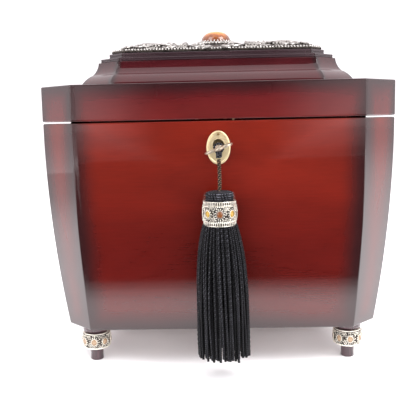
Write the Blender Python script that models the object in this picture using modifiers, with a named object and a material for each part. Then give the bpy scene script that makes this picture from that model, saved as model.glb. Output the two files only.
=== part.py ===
"""A tea caddy: a lacquered wooden box with canted corners and curved sides, on four jewelled
feet. Its hinged lid carries a stepped top, a cast ornament and a stone. A box lock closes it,
and a tassel hangs from the key.

The pieces are placed in the case's own axes: X to the right, Y to the back, Z up from the
table, with the case centred on X and Y. One empty moves them all, so that the world's origin
is under the middle of the whole object.
"""

import math

import bmesh
import bpy
from mathutils import Matrix, Vector

MM = 0.001
GAP = 0.3 * MM  # left between two pieces that touch

# Case
HALF_WIDTH = 140 * MM
HALF_DEPTH = 100 * MM
CORNER_LEG = 28.8 * MM  # how far a canted corner cuts into each side
WALL = 20 * MM  # at the rim; the inner faces are upright
BODY_BOTTOM = 31 * MM
BODY_TOP = 197.3 * MM
SIDE_RADIUS = 1033 * MM  # of the curve that draws the sides in towards the feet
SIDE_STEPS = 10
FLOOR_THICKNESS = 8 * MM
CASE_SHIFT_Y = 13.3 * MM  # from the middle of the whole object to the middle of the case

# Lid
LID_BOTTOM = 198.5 * MM
LID_TOP = 226.3 * MM
LID_PANEL_THICKNESS = 12 * MM
COVE_INSET = (27.0 * MM, 41.5 * MM)  # at its foot and at its top
COVE_TOP = 246.3 * MM
COVE_KNEE = (36.4 * MM, 236.2 * MM)  # inset and height where the flare turns upright
TIER_LEG_SLOPE = 0.72  # how fast the canted corners shrink towards the top
LOWER_PLATE = (43.6 * MM, 246.6 * MM, 249.4 * MM)  # inset, bottom, top
UPPER_PLATE = (50.5 * MM, 249.7 * MM, 253.6 * MM)
ORNAMENT_TOP = 261.6 * MM
SETTING_RADIUS = 21.5 * MM
STONE_RADIUS = 13.2 * MM
STONE_TOP = 275 * MM

# Feet
FOOT_X = 105 * MM
FOOT_Y = 65 * MM
FOOT_DISC_RADIUS = 10.8 * MM
FOOT_PEG_RADIUS = 5.3 * MM
COLLAR_BOTTOM = 11 * MM
COLLAR_TOP = 24 * MM

# Lining
FELT = 2 * MM
LINING_TOP = 199.5 * MM
DIVIDER_TOP = 150 * MM
DIVIDER_THICKNESS = 6 * MM

# Lock and key
KEY_Z = 177.2 * MM  # the key's axis, parallel to Y
KEYHOLE_Z = 179.2 * MM
KEYHOLE_RADIUS = 4.3 * MM
KEYHOLE_BOTTOM = 169 * MM
KEYHOLE_SLOT = 3.2 * MM
SHANK_RADIUS = 1.9 * MM
BIT_LENGTH = 7 * MM  # from the key's axis
BOW_ANGLE = math.radians(20)
LOCK_HALF_WIDTH = 18 * MM
LOCK_BOTTOM = 162 * MM
LOCK_FRONT = -89.5 * MM
LOCK_BACK = -80.3 * MM  # the lock plate's inner face
STAPLE_X = 12 * MM
STAPLE_Y = -84.4 * MM

# Tassel
LOOP_Y = -113 * MM
KNOT_Z = 172.2 * MM
KNOT_RADIUS = 2.6 * MM
CORD_RADIUS = 1.5 * MM
CORD_TOP = KNOT_Z - KNOT_RADIUS - GAP
HEAD_TOP = 146 * MM
CORD_END = 138.0 * MM
TASSEL_COLLAR = (120.3 * MM, 138.6 * MM)
SKIRT_BOTTOM = 20 * MM

# Hinges
HINGE_X = 85 * MM
HINGE_Y = 102.9 * MM
HINGE_Z = (BODY_TOP + LID_BOTTOM) / 2
LEAF_THICKNESS = 1.2 * MM
LEAF_HALF_LENGTH = 15 * MM
KNUCKLE_RADIUS = 2.6 * MM
KNUCKLE_SPLIT = 5 * MM
PIN_RADIUS = 1.05 * MM

ROUND_STEPS = 20

# Base colour, roughness and metallic value of each finish
FINISHES = {
    "mahogany": ((0.19, 0.030, 0.022), 0.22, 0.0),
    "felt": ((0.012, 0.010, 0.010), 0.95, 0.0),
    "brass": ((0.80, 0.62, 0.30), 0.30, 1.0),
    "antique_silver": ((0.62, 0.57, 0.47), 0.35, 1.0),
    "steel": ((0.45, 0.43, 0.40), 0.35, 1.0),
    "amber": ((0.60, 0.22, 0.03), 0.08, 0.0),
    "black_thread": ((0.012, 0.012, 0.014), 0.60, 0.0),
}


def clear_scene():
    for obj in list(bpy.data.objects):
        bpy.data.objects.remove(obj, do_unlink=True)


def new_collection(name):
    collection = bpy.data.collections.new(name)
    bpy.context.scene.collection.children.link(collection)
    return collection


def finish(piece_name, kind):
    """A Principled material of this kind for one piece."""
    colour, roughness, metallic = FINISHES[kind]
    material = bpy.data.materials.new(f"{piece_name}_{kind}")
    material.use_nodes = True
    shader = material.node_tree.nodes["Principled BSDF"]
    shader.inputs["Base Color"].default_value = (*colour, 1.0)
    shader.inputs["Roughness"].default_value = roughness
    shader.inputs["Metallic"].default_value = metallic
    return material


def place(name, mesh, kind, matrix=None):
    """A piece of the caddy from this mesh, in the case's axes."""
    obj = bpy.data.objects.new(name, mesh)
    mesh.materials.append(finish(name, kind))
    pieces.objects.link(obj)
    obj.parent = case_axes
    if matrix is not None:
        obj.matrix_basis = matrix
    return obj


def place_helper(name, mesh, matrix=None):
    """A cutter, or a shape that a piece is joined with."""
    obj = bpy.data.objects.new(name, mesh)
    cutters.objects.link(obj)
    obj.parent = case_axes
    obj.hide_render = True
    obj.display_type = "WIRE"
    if matrix is not None:
        obj.matrix_basis = matrix
    return obj


def combine(obj, helper, operation="DIFFERENCE"):
    modifier = obj.modifiers.new(helper.name, "BOOLEAN")
    modifier.operation = operation
    modifier.object = helper
    return obj


def mesh_from(bm, name):
    mesh = bpy.data.meshes.new(name)
    bm.to_mesh(mesh)
    bm.free()
    return mesh


def box_mesh(name, low, high):
    bm = bmesh.new()
    bmesh.ops.create_cube(bm, size=1)
    size = [top - bottom for bottom, top in zip(low, high)]
    centre = [(top + bottom) / 2 for bottom, top in zip(low, high)]
    bmesh.ops.scale(bm, vec=size, verts=bm.verts)
    bmesh.ops.translate(bm, vec=centre, verts=bm.verts)
    return mesh_from(bm, name)


def slab_mesh(name, outlines, thickness):
    """A flat piece from a closed outline and its holes, half its thickness each side of Z = 0."""
    curve = bpy.data.curves.new(name, "CURVE")
    curve.dimensions = "2D"
    curve.fill_mode = "BOTH"
    curve.extrude = thickness / 2
    for outline in outlines:
        spline = curve.splines.new("POLY")
        spline.points.add(len(outline) - 1)
        for point, (x, y) in zip(spline.points, outline):
            point.co = (x, y, 0, 1)
        spline.use_cyclic_u = True
    guide = bpy.data.objects.new(name, curve)
    cutters.objects.link(guide)
    graph = bpy.context.evaluated_depsgraph_get()
    mesh = bpy.data.meshes.new_from_object(guide.evaluated_get(graph))
    bpy.data.objects.remove(guide)
    bm = bmesh.new()
    bm.from_mesh(mesh)
    bmesh.ops.remove_doubles(bm, verts=bm.verts, dist=1e-6)
    bmesh.ops.recalc_face_normals(bm, faces=bm.faces)
    bm.to_mesh(mesh)
    bm.free()
    return mesh


def circle(radius, steps, centre=(0, 0), start=0.0, turn=math.tau):
    """Points round a circle, or round part of one."""
    count = steps if turn == math.tau else steps + 1
    angles = [start + turn * i / steps for i in range(count)]
    return [(centre[0] + radius * math.cos(a), centre[1] + radius * math.sin(a)) for a in angles]


def add_screw(obj, steps):
    screw = obj.modifiers.new("Turned", "SCREW")
    screw.steps = steps
    screw.render_steps = steps
    screw.use_merge_vertices = True
    screw.merge_threshold = 1e-5
    screw.use_smooth_shade = True
    return obj


def profile_mesh(name, profile, closed):
    """The (radius, height) profile of a turned piece, top to bottom on its outer side."""
    bm = bmesh.new()
    points = [bm.verts.new((radius, 0, height)) for radius, height in profile]
    for first, second in zip(points, points[1:]):
        bm.edges.new((first, second))
    if closed:
        bm.edges.new((points[-1], points[0]))
    return mesh_from(bm, name)


def turned(name, profile, kind, matrix, steps=ROUND_STEPS, closed=False):
    """A piece turned about its own Z axis. A closed profile makes a ring."""
    obj = place(name, profile_mesh(name, profile, closed), kind, matrix)
    add_screw(obj, steps)
    return obj


def turned_helper(name, profile, matrix, steps=ROUND_STEPS, closed=False):
    obj = place_helper(name, profile_mesh(name, profile, closed), matrix)
    return add_screw(obj, steps)


def rod_profile(radius, low, high):
    return [(0, high), (radius, high), (radius, low), (0, low)]


def at(x, y, z):
    return Matrix.Translation((x, y, z))


# A slab's or a turned piece's own Z axis laid along the case's X or Y axis
ALONG_X = Matrix(((0, 0, 1, 0), (1, 0, 0, 0), (0, 1, 0, 0), (0, 0, 0, 1)))
ALONG_Y = Matrix(((0, 1, 0, 0), (0, 0, 1, 0), (1, 0, 0, 0), (0, 0, 0, 1)))


def corner_leg(inset):
    """The canted corner's leg where every side is set in by this much."""
    return CORNER_LEG - (2 - math.sqrt(2)) * inset


def tier_leg(inset):
    """The same for the lid's tiers, which stay canted up to the ornament's middle."""
    return max(CORNER_LEG - TIER_LEG_SLOPE * (inset - COVE_INSET[0]), 3 * MM)


def octagon(inset, leg_at=corner_leg):
    """The plan's corners, anticlockwise from the front side's right end."""
    x, y, leg = HALF_WIDTH - inset, HALF_DEPTH - inset, leg_at(inset)
    right = [(x - leg, -y), (x, leg - y), (x, y - leg), (x - leg, y)]
    return right + [(-px, -py) for px, py in right]


def octagon_stack(name, rings, kind, leg_at=corner_leg):
    """A solid through plans of these (inset, height) pairs, from the bottom up."""
    bm = bmesh.new()
    loops = [[bm.verts.new((x, y, z)) for x, y in octagon(inset, leg_at)] for inset, z in rings]
    for below, above in zip(loops, loops[1:]):
        for i in range(8):
            j = (i + 1) % 8
            bm.faces.new((below[i], below[j], above[j], above[i]))
    bm.faces.new(reversed(loops[0]))
    bm.faces.new(loops[-1])
    return place(name, mesh_from(bm, name), kind)


def side_inset(z):
    """How far the body's curved side is set in at this height."""
    drop = BODY_TOP - z
    return GAP + SIDE_RADIUS - math.sqrt(SIDE_RADIUS**2 - drop**2)


# The eight sides of the plan: name, direction of the outward normal, middle of the side and
# half its length, all at zero inset
def plan_sides():
    names = ("front", "front_right", "right", "back_right", "back", "back_left", "left", "front_left")
    corners = octagon(0)
    sides = []
    for i, name in enumerate(names):
        start, end = Vector(corners[i - 1]), Vector(corners[i])
        along = end - start
        sides.append((name, math.atan2(-along.x, along.y), (start + end) / 2, along.length / 2))
    return sides


def mitred_board(name, profile, side):
    """A board that fills one side of the plan. Its profile is (distance outwards, height), and
    its ends are cut on the mitre planes between this side and the next ones."""
    _, direction, middle, half_length = side
    half_length -= GAP / 2 / math.cos(math.pi / 8)
    mesh = slab_mesh(name, [profile], 4 * half_length)
    bm = bmesh.new()
    bm.from_mesh(mesh)
    bmesh.ops.transform(bm, matrix=ALONG_X, verts=bm.verts)
    for end in (-1, 1):
        result = bmesh.ops.bisect_plane(
            bm,
            geom=bm.verts[:] + bm.edges[:] + bm.faces[:],
            plane_co=(end * half_length, 0, 0),
            plane_no=(end, -math.tan(math.pi / 8), 0),
            clear_outer=True,
        )
        rim = [item for item in result["geom_cut"] if isinstance(item, bmesh.types.BMEdge)]
        bmesh.ops.edgeloop_fill(bm, edges=rim)
    bmesh.ops.recalc_face_normals(bm, faces=bm.faces)
    bm.to_mesh(mesh)
    bm.free()
    matrix = at(middle.x, middle.y, 0) @ Matrix.Rotation(direction - math.pi / 2, 4, "Z")
    return place(name, mesh, "mahogany", matrix)


def body_profile():
    step = (BODY_TOP - BODY_BOTTOM) / SIDE_STEPS
    heights = [BODY_BOTTOM + i * step for i in range(SIDE_STEPS + 1)]
    outer = [(-side_inset(z), z) for z in heights]
    return outer + [(-WALL, BODY_TOP), (-WALL, BODY_BOTTOM)]


def lid_profile():
    return [(0, LID_BOTTOM), (0, LID_TOP), (-WALL, LID_TOP), (-WALL, LID_BOTTOM)]


def make_walls():
    """The body's four panels and four corner posts, by the name of their side."""
    walls = {}
    for side in plan_sides():
        kind = "corner_post_" if "_" in side[0] else ""
        name = kind + side[0] if kind else side[0] + "_panel"
        walls[name] = mitred_board(name, body_profile(), side)
    return walls


def make_lid_frame():
    rails = {}
    for side in plan_sides():
        name = "lid_corner_" + side[0] if "_" in side[0] else "lid_rail_" + side[0]
        rails[name] = mitred_board(name, lid_profile(), side)
    return rails


def make_floor():
    rings = [(WALL + GAP, BODY_BOTTOM), (WALL + GAP, BODY_BOTTOM + FLOOR_THICKNESS)]
    octagon_stack("floor_board", rings, "mahogany")


def cove_profile():
    """The cove from the lid's top up: a flare to the knee, then a nearly upright hollow."""
    (foot, top), (knee, knee_z) = COVE_INSET, COVE_KNEE
    foot_z = LID_TOP + GAP
    flare = [(0, 0), (0.12, 0.25), (0.35, 0.5), (0.68, 0.76), (1, 1)]
    rings = [(foot + (knee - foot) * u, foot_z + (knee_z - foot_z) * v) for u, v in flare]
    hollow = [(0.46, 0.18), (0.74, 0.42), (1, 1)]
    rings += [(knee + (top - knee) * u, knee_z + (COVE_TOP - knee_z) * v) for u, v in hollow]
    return rings


def make_lid_top():
    under = LID_TOP - LID_PANEL_THICKNESS
    octagon_stack("lid_top_panel", [(WALL + GAP, under), (WALL + GAP, LID_TOP)], "mahogany")
    lining = [(WALL + FELT, under - GAP - FELT), (WALL + FELT, under - GAP)]
    octagon_stack("lid_lining", lining, "felt")
    octagon_stack("cove_block", cove_profile(), "mahogany", tier_leg)
    for name, (inset, bottom, top) in (("lower_plate", LOWER_PLATE), ("upper_plate", UPPER_PLATE)):
        octagon_stack(name, [(inset, bottom), (inset, top)], "mahogany", tier_leg)


def make_ornament():
    """The cast ornament, its raised setting and the stone."""
    inset, _, base = UPPER_PLATE
    rings = [
        (inset + 2 * MM, base + GAP),
        (inset + 2 * MM, base + 2 * MM),
        (inset + 14 * MM, base + 5 * MM),
        (inset + 26 * MM, ORNAMENT_TOP),
    ]
    octagon_stack("ornament_plate", rings, "antique_silver", tier_leg)
    seat = ORNAMENT_TOP + 3.2 * MM
    rim = seat + 2 * MM
    bowl = STONE_RADIUS + GAP
    setting = [
        (0, seat - GAP),
        (bowl, seat - GAP),
        (bowl, rim),
        (bowl + 1.6 * MM, rim),
        (bowl + 2.2 * MM, seat - MM),
        (SETTING_RADIUS, seat - 2.2 * MM),
        (SETTING_RADIUS, ORNAMENT_TOP + GAP),
        (0, ORNAMENT_TOP + GAP),
    ]
    turned("stone_setting", setting, "antique_silver", at(0, 0, 0))
    rise = STONE_TOP - seat
    dome = [
        (STONE_RADIUS * math.sin(a), seat + rise * math.cos(a) ** 0.9)
        for a in [math.radians(d) for d in (0, 20, 40, 60, 78)]
    ]
    turned("stone", dome + [(STONE_RADIUS, seat), (0, seat)], "amber", at(0, 0, 0))


def make_feet():
    top = BODY_BOTTOM - GAP
    disc = FOOT_DISC_RADIUS
    peg = FOOT_PEG_RADIUS
    foot = [
        (0, top),
        (disc, top),
        (disc, COLLAR_TOP + 2 * MM),
        (disc - 1.4 * MM, COLLAR_TOP + GAP),
        (peg + 2.7 * MM, COLLAR_TOP + GAP),
        (peg + 2.7 * MM, COLLAR_BOTTOM - GAP),
        (peg + 0.3 * MM, COLLAR_BOTTOM - 2 * MM),
        (peg, 4 * MM),
        (peg + 0.2 * MM, 0.6 * MM),
        (peg - 0.4 * MM, 0),
        (0, 0),
    ]
    bore = peg + 3 * MM
    collar = [
        (bore, COLLAR_TOP),
        (disc + 0.2 * MM, COLLAR_TOP),
        (disc + 1.6 * MM, COLLAR_TOP - 4 * MM),
        (disc + 1.4 * MM, COLLAR_BOTTOM + 4 * MM),
        (disc - 0.6 * MM, COLLAR_BOTTOM),
        (bore, COLLAR_BOTTOM),
    ]
    for side, x in (("left", -FOOT_X), ("right", FOOT_X)):
        for end, y in (("front", -FOOT_Y), ("back", FOOT_Y)):
            turned(f"foot_{end}_{side}", foot, "mahogany", at(x, y, 0))
            name = f"foot_collar_{end}_{side}"
            turned(name, collar, "antique_silver", at(x, y, 0), closed=True)


def make_lining():
    """Felt on the four walls and the floor, and the divider between two compartments."""
    bottom = BODY_BOTTOM + FLOOR_THICKNESS + FELT + 2 * GAP
    inner_x = HALF_WIDTH - WALL - GAP
    inner_y = HALF_DEPTH - WALL - GAP
    leg = corner_leg(WALL) + FELT
    half_x, half_y = inner_x - leg, inner_y - leg
    notch_x, notch_z = LOCK_HALF_WIDTH + 3 * MM, LOCK_BOTTOM - 3 * MM
    plain = [(-half_x, bottom), (half_x, bottom), (half_x, LINING_TOP), (-half_x, LINING_TOP)]
    notch = [(notch_x, LINING_TOP), (notch_x, notch_z), (-notch_x, notch_z), (-notch_x, LINING_TOP)]
    facing = Matrix.Rotation(math.pi / 2, 4, "X")
    front = slab_mesh("lining_front", [plain[:3] + notch + plain[3:]], FELT)
    place("lining_front", front, "felt", at(0, -inner_y + FELT / 2, 0) @ facing)
    back = slab_mesh("lining_back", [plain], FELT)
    place("lining_back", back, "felt", at(0, inner_y - FELT / 2, 0) @ facing)
    for side, end in (("left", -1), ("right", 1)):
        edges = sorted((end * inner_x, end * (inner_x - FELT)))
        low, high = (edges[0], -half_y, bottom), (edges[1], half_y, LINING_TOP)
        place(f"lining_{side}", box_mesh(f"lining_{side}", low, high), "felt")
    floor_z = BODY_BOTTOM + FLOOR_THICKNESS + GAP
    rings = [(WALL + 2 * GAP, floor_z), (WALL + 2 * GAP, floor_z + FELT)]
    octagon_stack("lining_floor", rings, "felt")
    reach = inner_y - FELT - GAP
    dip = circle(14 * MM, 8, (0, DIVIDER_TOP + 6 * MM), -math.radians(25), -math.radians(130))
    outline = [(reach, bottom), (reach, DIVIDER_TOP), *dip, (-reach, DIVIDER_TOP), (-reach, bottom)]
    place("divider", slab_mesh("divider", [outline], DIVIDER_THICKNESS), "mahogany", ALONG_X)


def keyhole_outline(grow=0.0):
    """A round hole with a slot below it, in X and Z."""
    radius, half = KEYHOLE_RADIUS + grow, KEYHOLE_SLOT / 2 + grow
    start = -math.acos(half / radius)
    arc = circle(radius, 14, (0, KEYHOLE_Z), start, math.pi - 2 * start)
    return arc + [(-half, KEYHOLE_BOTTOM - grow), (half, KEYHOLE_BOTTOM - grow)]


FACING_FRONT = Matrix.Rotation(math.pi / 2, 4, "X")


def bolt_outline():
    """The bolt in X and Z, with two feet below it that keep the key's bit between them."""
    left, right, bottom, top = -13.8 * MM, 9.6 * MM, 185.2 * MM, 190.8 * MM
    feet_bottom = 182.9 * MM
    nose_bottom = bottom + MM
    outline = [(left, bottom)]
    for start, end in ((-12 * MM, -8 * MM), (0, 4 * MM)):
        outline += [(start, bottom), (start, feet_bottom), (end, feet_bottom), (end, bottom)]
    outline[-1] = (4 * MM, nose_bottom)
    return outline + [(right, nose_bottom), (right, top), (left, top)]


def make_lock(front_panel):
    """The box lock: its plate with the selvedge, its case and its bolt, in the front panel."""
    half, front, back, floor = LOCK_HALF_WIDTH, LOCK_FRONT, LOCK_BACK, LOCK_BOTTOM
    pocket_low = (-half - 2.4 * MM, front - GAP, floor - 2.4 * MM)
    pocket = box_mesh("lock_pocket", pocket_low, (half + 2.4 * MM, back + 2 * MM, BODY_TOP + MM))
    combine(front_panel, place_helper("lock_pocket", pocket))
    hole = slab_mesh("keyhole_cutter", [keyhole_outline()], 30 * MM)
    hole = place_helper("keyhole_cutter", hole, at(0, -95 * MM, 0) @ FACING_FRONT)
    combine(front_panel, hole)

    plate_low = (-half - 2 * MM, back - 1.2 * MM, floor - 2 * MM)
    plate_high = (half + 2 * MM, back, BODY_TOP)
    plate = place("lock_plate", box_mesh("lock_plate", plate_low, plate_high), "brass")
    lip_low = (-half - 2 * MM, front, BODY_TOP - 1.5 * MM)
    lip_high = (half + 2 * MM, back - 0.6 * MM, BODY_TOP)
    combine(plate, place_helper("lock_selvedge", box_mesh("lock_selvedge", lip_low, lip_high)), "UNION")
    slot_low = (STAPLE_X - 1.8 * MM, STAPLE_Y - 3.2 * MM, BODY_TOP - 4 * MM)
    slot_high = (STAPLE_X + 1.8 * MM, STAPLE_Y + 2.8 * MM, BODY_TOP + MM)
    combine(plate, place_helper("staple_slot", box_mesh("staple_slot", slot_low, slot_high)))

    case_low = (-half, front, floor)
    case_high = (half, back - 1.2 * MM - GAP, BODY_TOP - 1.5 * MM - GAP)
    case = place("lock_case", box_mesh("lock_case", case_low, case_high), "steel")
    inner_low = (-half + MM, front + MM, floor + MM)
    inner_high = (half - MM, back, BODY_TOP - 0.5 * MM)
    combine(case, place_helper("lock_hollow", box_mesh("lock_hollow", inner_low, inner_high)))
    combine(case, hole)

    bolt = slab_mesh("lock_bolt", [bolt_outline()], 1.6 * MM)
    place("lock_bolt", bolt, "brass", at(0, STAPLE_Y, 0) @ FACING_FRONT)


def make_strike(front_rail):
    """The plate under the lid's front rail, with the staple that the bolt passes through."""
    top = LID_BOTTOM + 1.2 * MM
    half = LOCK_HALF_WIDTH + 2 * MM
    low = (-half, LOCK_FRONT, LID_BOTTOM)
    high = (half, LOCK_BACK, top)
    plate = place("strike_plate", box_mesh("strike_plate", low, high), "brass")
    staple_low = (STAPLE_X - 0.75 * MM, STAPLE_Y - 2.3 * MM, 183.6 * MM)
    staple_high = (STAPLE_X + 0.75 * MM, STAPLE_Y + 2.3 * MM, LID_BOTTOM + 0.5 * MM)
    combine(plate, place_helper("staple", box_mesh("staple", staple_low, staple_high)), "UNION")
    eye_low = (STAPLE_X - 2 * MM, STAPLE_Y - 1.25 * MM, 185.2 * MM)
    eye_high = (STAPLE_X + 2 * MM, STAPLE_Y + 1.25 * MM, 192.2 * MM)
    combine(plate, place_helper("staple_eye", box_mesh("staple_eye", eye_low, eye_high)))
    seat_low = (low[0] - GAP, low[1] - GAP, LID_BOTTOM - MM)
    seat_high = (high[0] + GAP, high[1] + 2 * MM, top + GAP)
    combine(front_rail, place_helper("strike_seat", box_mesh("strike_seat", seat_low, seat_high)))


def make_escutcheon(front_panel):
    """The oval plate round the keyhole and its two pins."""
    centre_z, thickness, plate_y = 177.1 * MM, 1.5 * MM, -100.75 * MM
    oval = [(9.1 * MM * x, centre_z + 12.7 * MM * y) for x, y in circle(1, 32)]
    pin_heights = (centre_z - 10.1 * MM, centre_z + 10.1 * MM)
    holes = [circle(0.9 * MM, 8, (0, z)) for z in pin_heights]
    mesh = slab_mesh("escutcheon", [oval, keyhole_outline(), *holes], thickness)
    place("escutcheon", mesh, "brass", at(0, plate_y, 0) @ FACING_FRONT)
    face = plate_y - thickness / 2 - GAP
    nail = [(0, 0.7 * MM), (0.7 * MM, 0.5 * MM), (1.1 * MM, 0), (0.5 * MM, 0), (0.5 * MM, -7 * MM), (0, -7 * MM)]
    for end, z in zip(("bottom", "top"), pin_heights):
        facing = at(0, face, z) @ FACING_FRONT
        turned(f"escutcheon_pin_{end}", nail, "brass", facing, steps=8)
        pilot = turned_helper(f"pin_hole_{end}", rod_profile(0.9 * MM, -9 * MM, MM), facing, steps=8)
        combine(front_panel, pilot)


def bow_outline():
    """Three overlapping lobes about the bow's centre: two at the sides and one at the tip."""
    lobes = [(0.0, 5.3 * MM, 5.5 * MM), (math.pi, 5.3 * MM, 5.5 * MM), (-math.pi / 2, 4.2 * MM, 4.3 * MM)]
    points = []
    for i in range(48):
        angle = math.tau * i / 48
        reach = 4 * MM
        for direction, distance, radius in lobes:
            across = distance * math.sin(angle - direction)
            along = distance * math.cos(angle - direction)
            if abs(across) < radius:
                reach = max(reach, along + math.sqrt(radius**2 - across**2))
        points.append((reach * math.cos(angle), reach * math.sin(angle)))
    holes = [circle(2.3 * MM, 10, (x * MM, 0.3 * MM), start=0.2) for x in (-6.2, 6.2)]
    return [points, *holes, circle(1.5 * MM, 8, (0, -5.2 * MM))]


def make_key():
    """The key in its own axes: its shank along Y, its bow and bit in the X-Y plane."""
    axis = at(0, 0, KEY_Z) @ Matrix.Rotation(-BOW_ANGLE, 4, "Y")
    inner, neck = -82.5 * MM, -118.6 * MM
    shank = [
        (0, -neck),
        (SHANK_RADIUS, -neck),
        (SHANK_RADIUS, 109.6 * MM),
        (3.2 * MM, 109.2 * MM),
        (3.2 * MM, 108.2 * MM),
        (SHANK_RADIUS, 107.8 * MM),
        (SHANK_RADIUS, -inner),
        (0, -inner),
    ]
    # The shank's own Z axis points to the front.
    key = turned("key", shank, "steel", axis @ Matrix.Rotation(math.pi / 2, 4, "X"), steps=16)
    bow = slab_mesh("key_bow", bow_outline(), 2 * MM)
    combine(key, place_helper("key_bow", bow, axis @ at(0, -122 * MM, 0)), "UNION")
    bit_low = (-BIT_LENGTH, -87.6 * MM, -MM)
    bit = box_mesh("key_bit", bit_low, (0.4 * MM, -83.6 * MM, MM))
    combine(key, place_helper("key_bit", bit, axis), "UNION")


def make_cord_loop():
    """The cord's loop round the key's shank and the knot under it."""
    thickness = 0.9 * MM
    radius = SHANK_RADIUS + GAP + 0.2 * MM + thickness
    section = [(radius + x, z) for x, z in circle(thickness, 8, start=math.pi / 2, turn=-math.tau)]
    facing = at(0, LOOP_Y, KEY_Z) @ FACING_FRONT
    loop = turned("cord_loop", section[:8], "black_thread", facing, steps=16, closed=True)
    rows = 8
    knot = [
        (KNOT_RADIUS * math.sin(math.pi * i / rows), KNOT_RADIUS * math.cos(math.pi * i / rows))
        for i in range(rows + 1)
    ]
    knot[0], knot[-1] = (0, KNOT_RADIUS), (0, -KNOT_RADIUS)
    helper = turned_helper("knot", knot, at(0, LOOP_Y, KNOT_Z), steps=12)
    combine(loop, helper, "UNION")


def cord_route():
    """The cord's middle line, from the knot into the tassel's head."""
    count = 7
    points = []
    for i in range(count):
        share = i / (count - 1)
        bow = 0.35 * MM * math.sin(math.pi * share)
        points.append((bow, LOOP_Y, CORD_TOP - GAP + (CORD_END - CORD_TOP + GAP) * share))
    return points


def make_tassel_cord():
    curve = bpy.data.curves.new("tassel_cord", "CURVE")
    curve.dimensions = "3D"
    curve.bevel_depth = CORD_RADIUS
    curve.bevel_resolution = 2
    curve.use_fill_caps = True
    spline = curve.splines.new("POLY")
    route = cord_route()
    spline.points.add(len(route) - 1)
    for point, place_at in zip(spline.points, route):
        point.co = (*place_at, 1)
    place("tassel_cord", curve, "black_thread")


def make_tassel():
    centre = at(0, LOOP_Y, 0)
    low, high = TASSEL_COLLAR
    bore = CORD_RADIUS + 0.5 * MM
    core = 8.6 * MM
    head = [
        (0, CORD_END - 2 * GAP),
        (bore, CORD_END - 2 * GAP),
        (bore, HEAD_TOP),
        (8.6 * MM, HEAD_TOP - 0.2 * MM),
        (10.2 * MM, HEAD_TOP - 1.6 * MM),
        (10.4 * MM, high + 2 * MM),
        (9.9 * MM, high + GAP),
        (core, high + GAP),
        (core, low),
        (0, low),
    ]
    turned("tassel_head", head, "black_thread", centre)
    collar = [
        (core + GAP, high),
        (11.9 * MM, high),
        (12.3 * MM, high - 3 * MM),
        (13.3 * MM, (low + high) / 2),
        (12.3 * MM, low + 3 * MM),
        (11.9 * MM, low),
        (core + GAP, low),
    ]
    turned("tassel_collar", collar, "antique_silver", centre, closed=True)
    skirt = [
        (0, low - GAP),
        (12.9 * MM, low - GAP),
        (15.6 * MM, 105 * MM),
        (17.6 * MM, 78 * MM),
        (18.6 * MM, 45 * MM),
        (19.0 * MM, SKIRT_BOTTOM + 3 * MM),
        (18.4 * MM, SKIRT_BOTTOM),
        (0, SKIRT_BOTTOM),
    ]
    turned("tassel_skirt", skirt, "black_thread", centre)


def make_hinge(side, x, back_panel, back_rail):
    """A butt hinge: two leaves let into the rims, with their knuckles behind the case."""
    inner, stop, outer = 84 * MM, HINGE_Y - 3 * MM, HINGE_Y
    half, split = LEAF_HALF_LENGTH, KNUCKLE_SPLIT
    notch = split + GAP
    body_outline = [(-half, inner), (half, inner), (half, outer), (notch, outer), (notch, stop)]
    body_outline += [(-notch, stop), (-notch, outer), (-half, outer)]
    lid_outline = [(-half, inner), (half, inner), (half, stop), (split, stop), (split, outer)]
    lid_outline += [(-split, outer), (-split, stop), (-half, stop)]
    body_z = BODY_TOP - LEAF_THICKNESS / 2
    lid_z = LID_BOTTOM + LEAF_THICKNESS / 2
    axis = at(x, HINGE_Y, HINGE_Z) @ ALONG_X
    spans = {
        f"body_leaf_{side}": (body_outline, body_z, [(-half, -split - GAP), (split + GAP, half)]),
        f"lid_leaf_{side}": (lid_outline, lid_z, [(-split, split)]),
    }
    bore_profile = rod_profile(PIN_RADIUS + GAP, -half - MM, half + MM)
    bore = turned_helper(f"hinge_bore_{side}", bore_profile, axis, steps=12)
    for name, (outline, z, knuckles) in spans.items():
        leaf = place(name, slab_mesh(name, [outline], LEAF_THICKNESS), "brass", at(x, 0, z))
        for i, (low, high) in enumerate(knuckles):
            profile = rod_profile(KNUCKLE_RADIUS, low, high)
            combine(leaf, turned_helper(f"{name}_knuckle_{i}", profile, axis, steps=12), "UNION")
        combine(leaf, bore)
    reach = half + 0.5 * MM
    pin = [(0, reach), (PIN_RADIUS, reach), (PIN_RADIUS, -reach), (0, -reach)]
    turned(f"hinge_pin_{side}", pin, "brass", axis, steps=12)
    for wood, bottom, top in (
        (back_panel, BODY_TOP - LEAF_THICKNESS - GAP, BODY_TOP + MM),
        (back_rail, LID_BOTTOM - MM, LID_BOTTOM + LEAF_THICKNESS + GAP),
    ):
        low = (x - half - GAP, inner - GAP, bottom)
        high = (x + half + GAP, HINGE_Y, top)
        name = f"{wood.name}_recess_{side}"
        combine(wood, place_helper(name, box_mesh(name, low, high)))


def make_axes():
    axes = bpy.data.objects.new("case_axes", None)
    axes.location = (0, CASE_SHIFT_Y, 0)
    pieces.objects.link(axes)
    return axes


clear_scene()
pieces = new_collection("tea_caddy")
cutters = new_collection("cutters")
case_axes = make_axes()

walls = make_walls()
rails = make_lid_frame()
make_floor()
make_lid_top()
make_ornament()
make_feet()
make_lining()
make_lock(walls["front_panel"])
make_strike(rails["lid_rail_front"])
make_escutcheon(walls["front_panel"])
make_key()
make_cord_loop()
make_tassel_cord()
make_tassel()
for hinge_side, hinge_x in (("left", -HINGE_X), ("right", HINGE_X)):
    make_hinge(hinge_side, hinge_x, walls["back_panel"], rails["lid_rail_back"])
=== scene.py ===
import math
import random

import bmesh
import bpy
from mathutils import Matrix, Vector, noise


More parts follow.
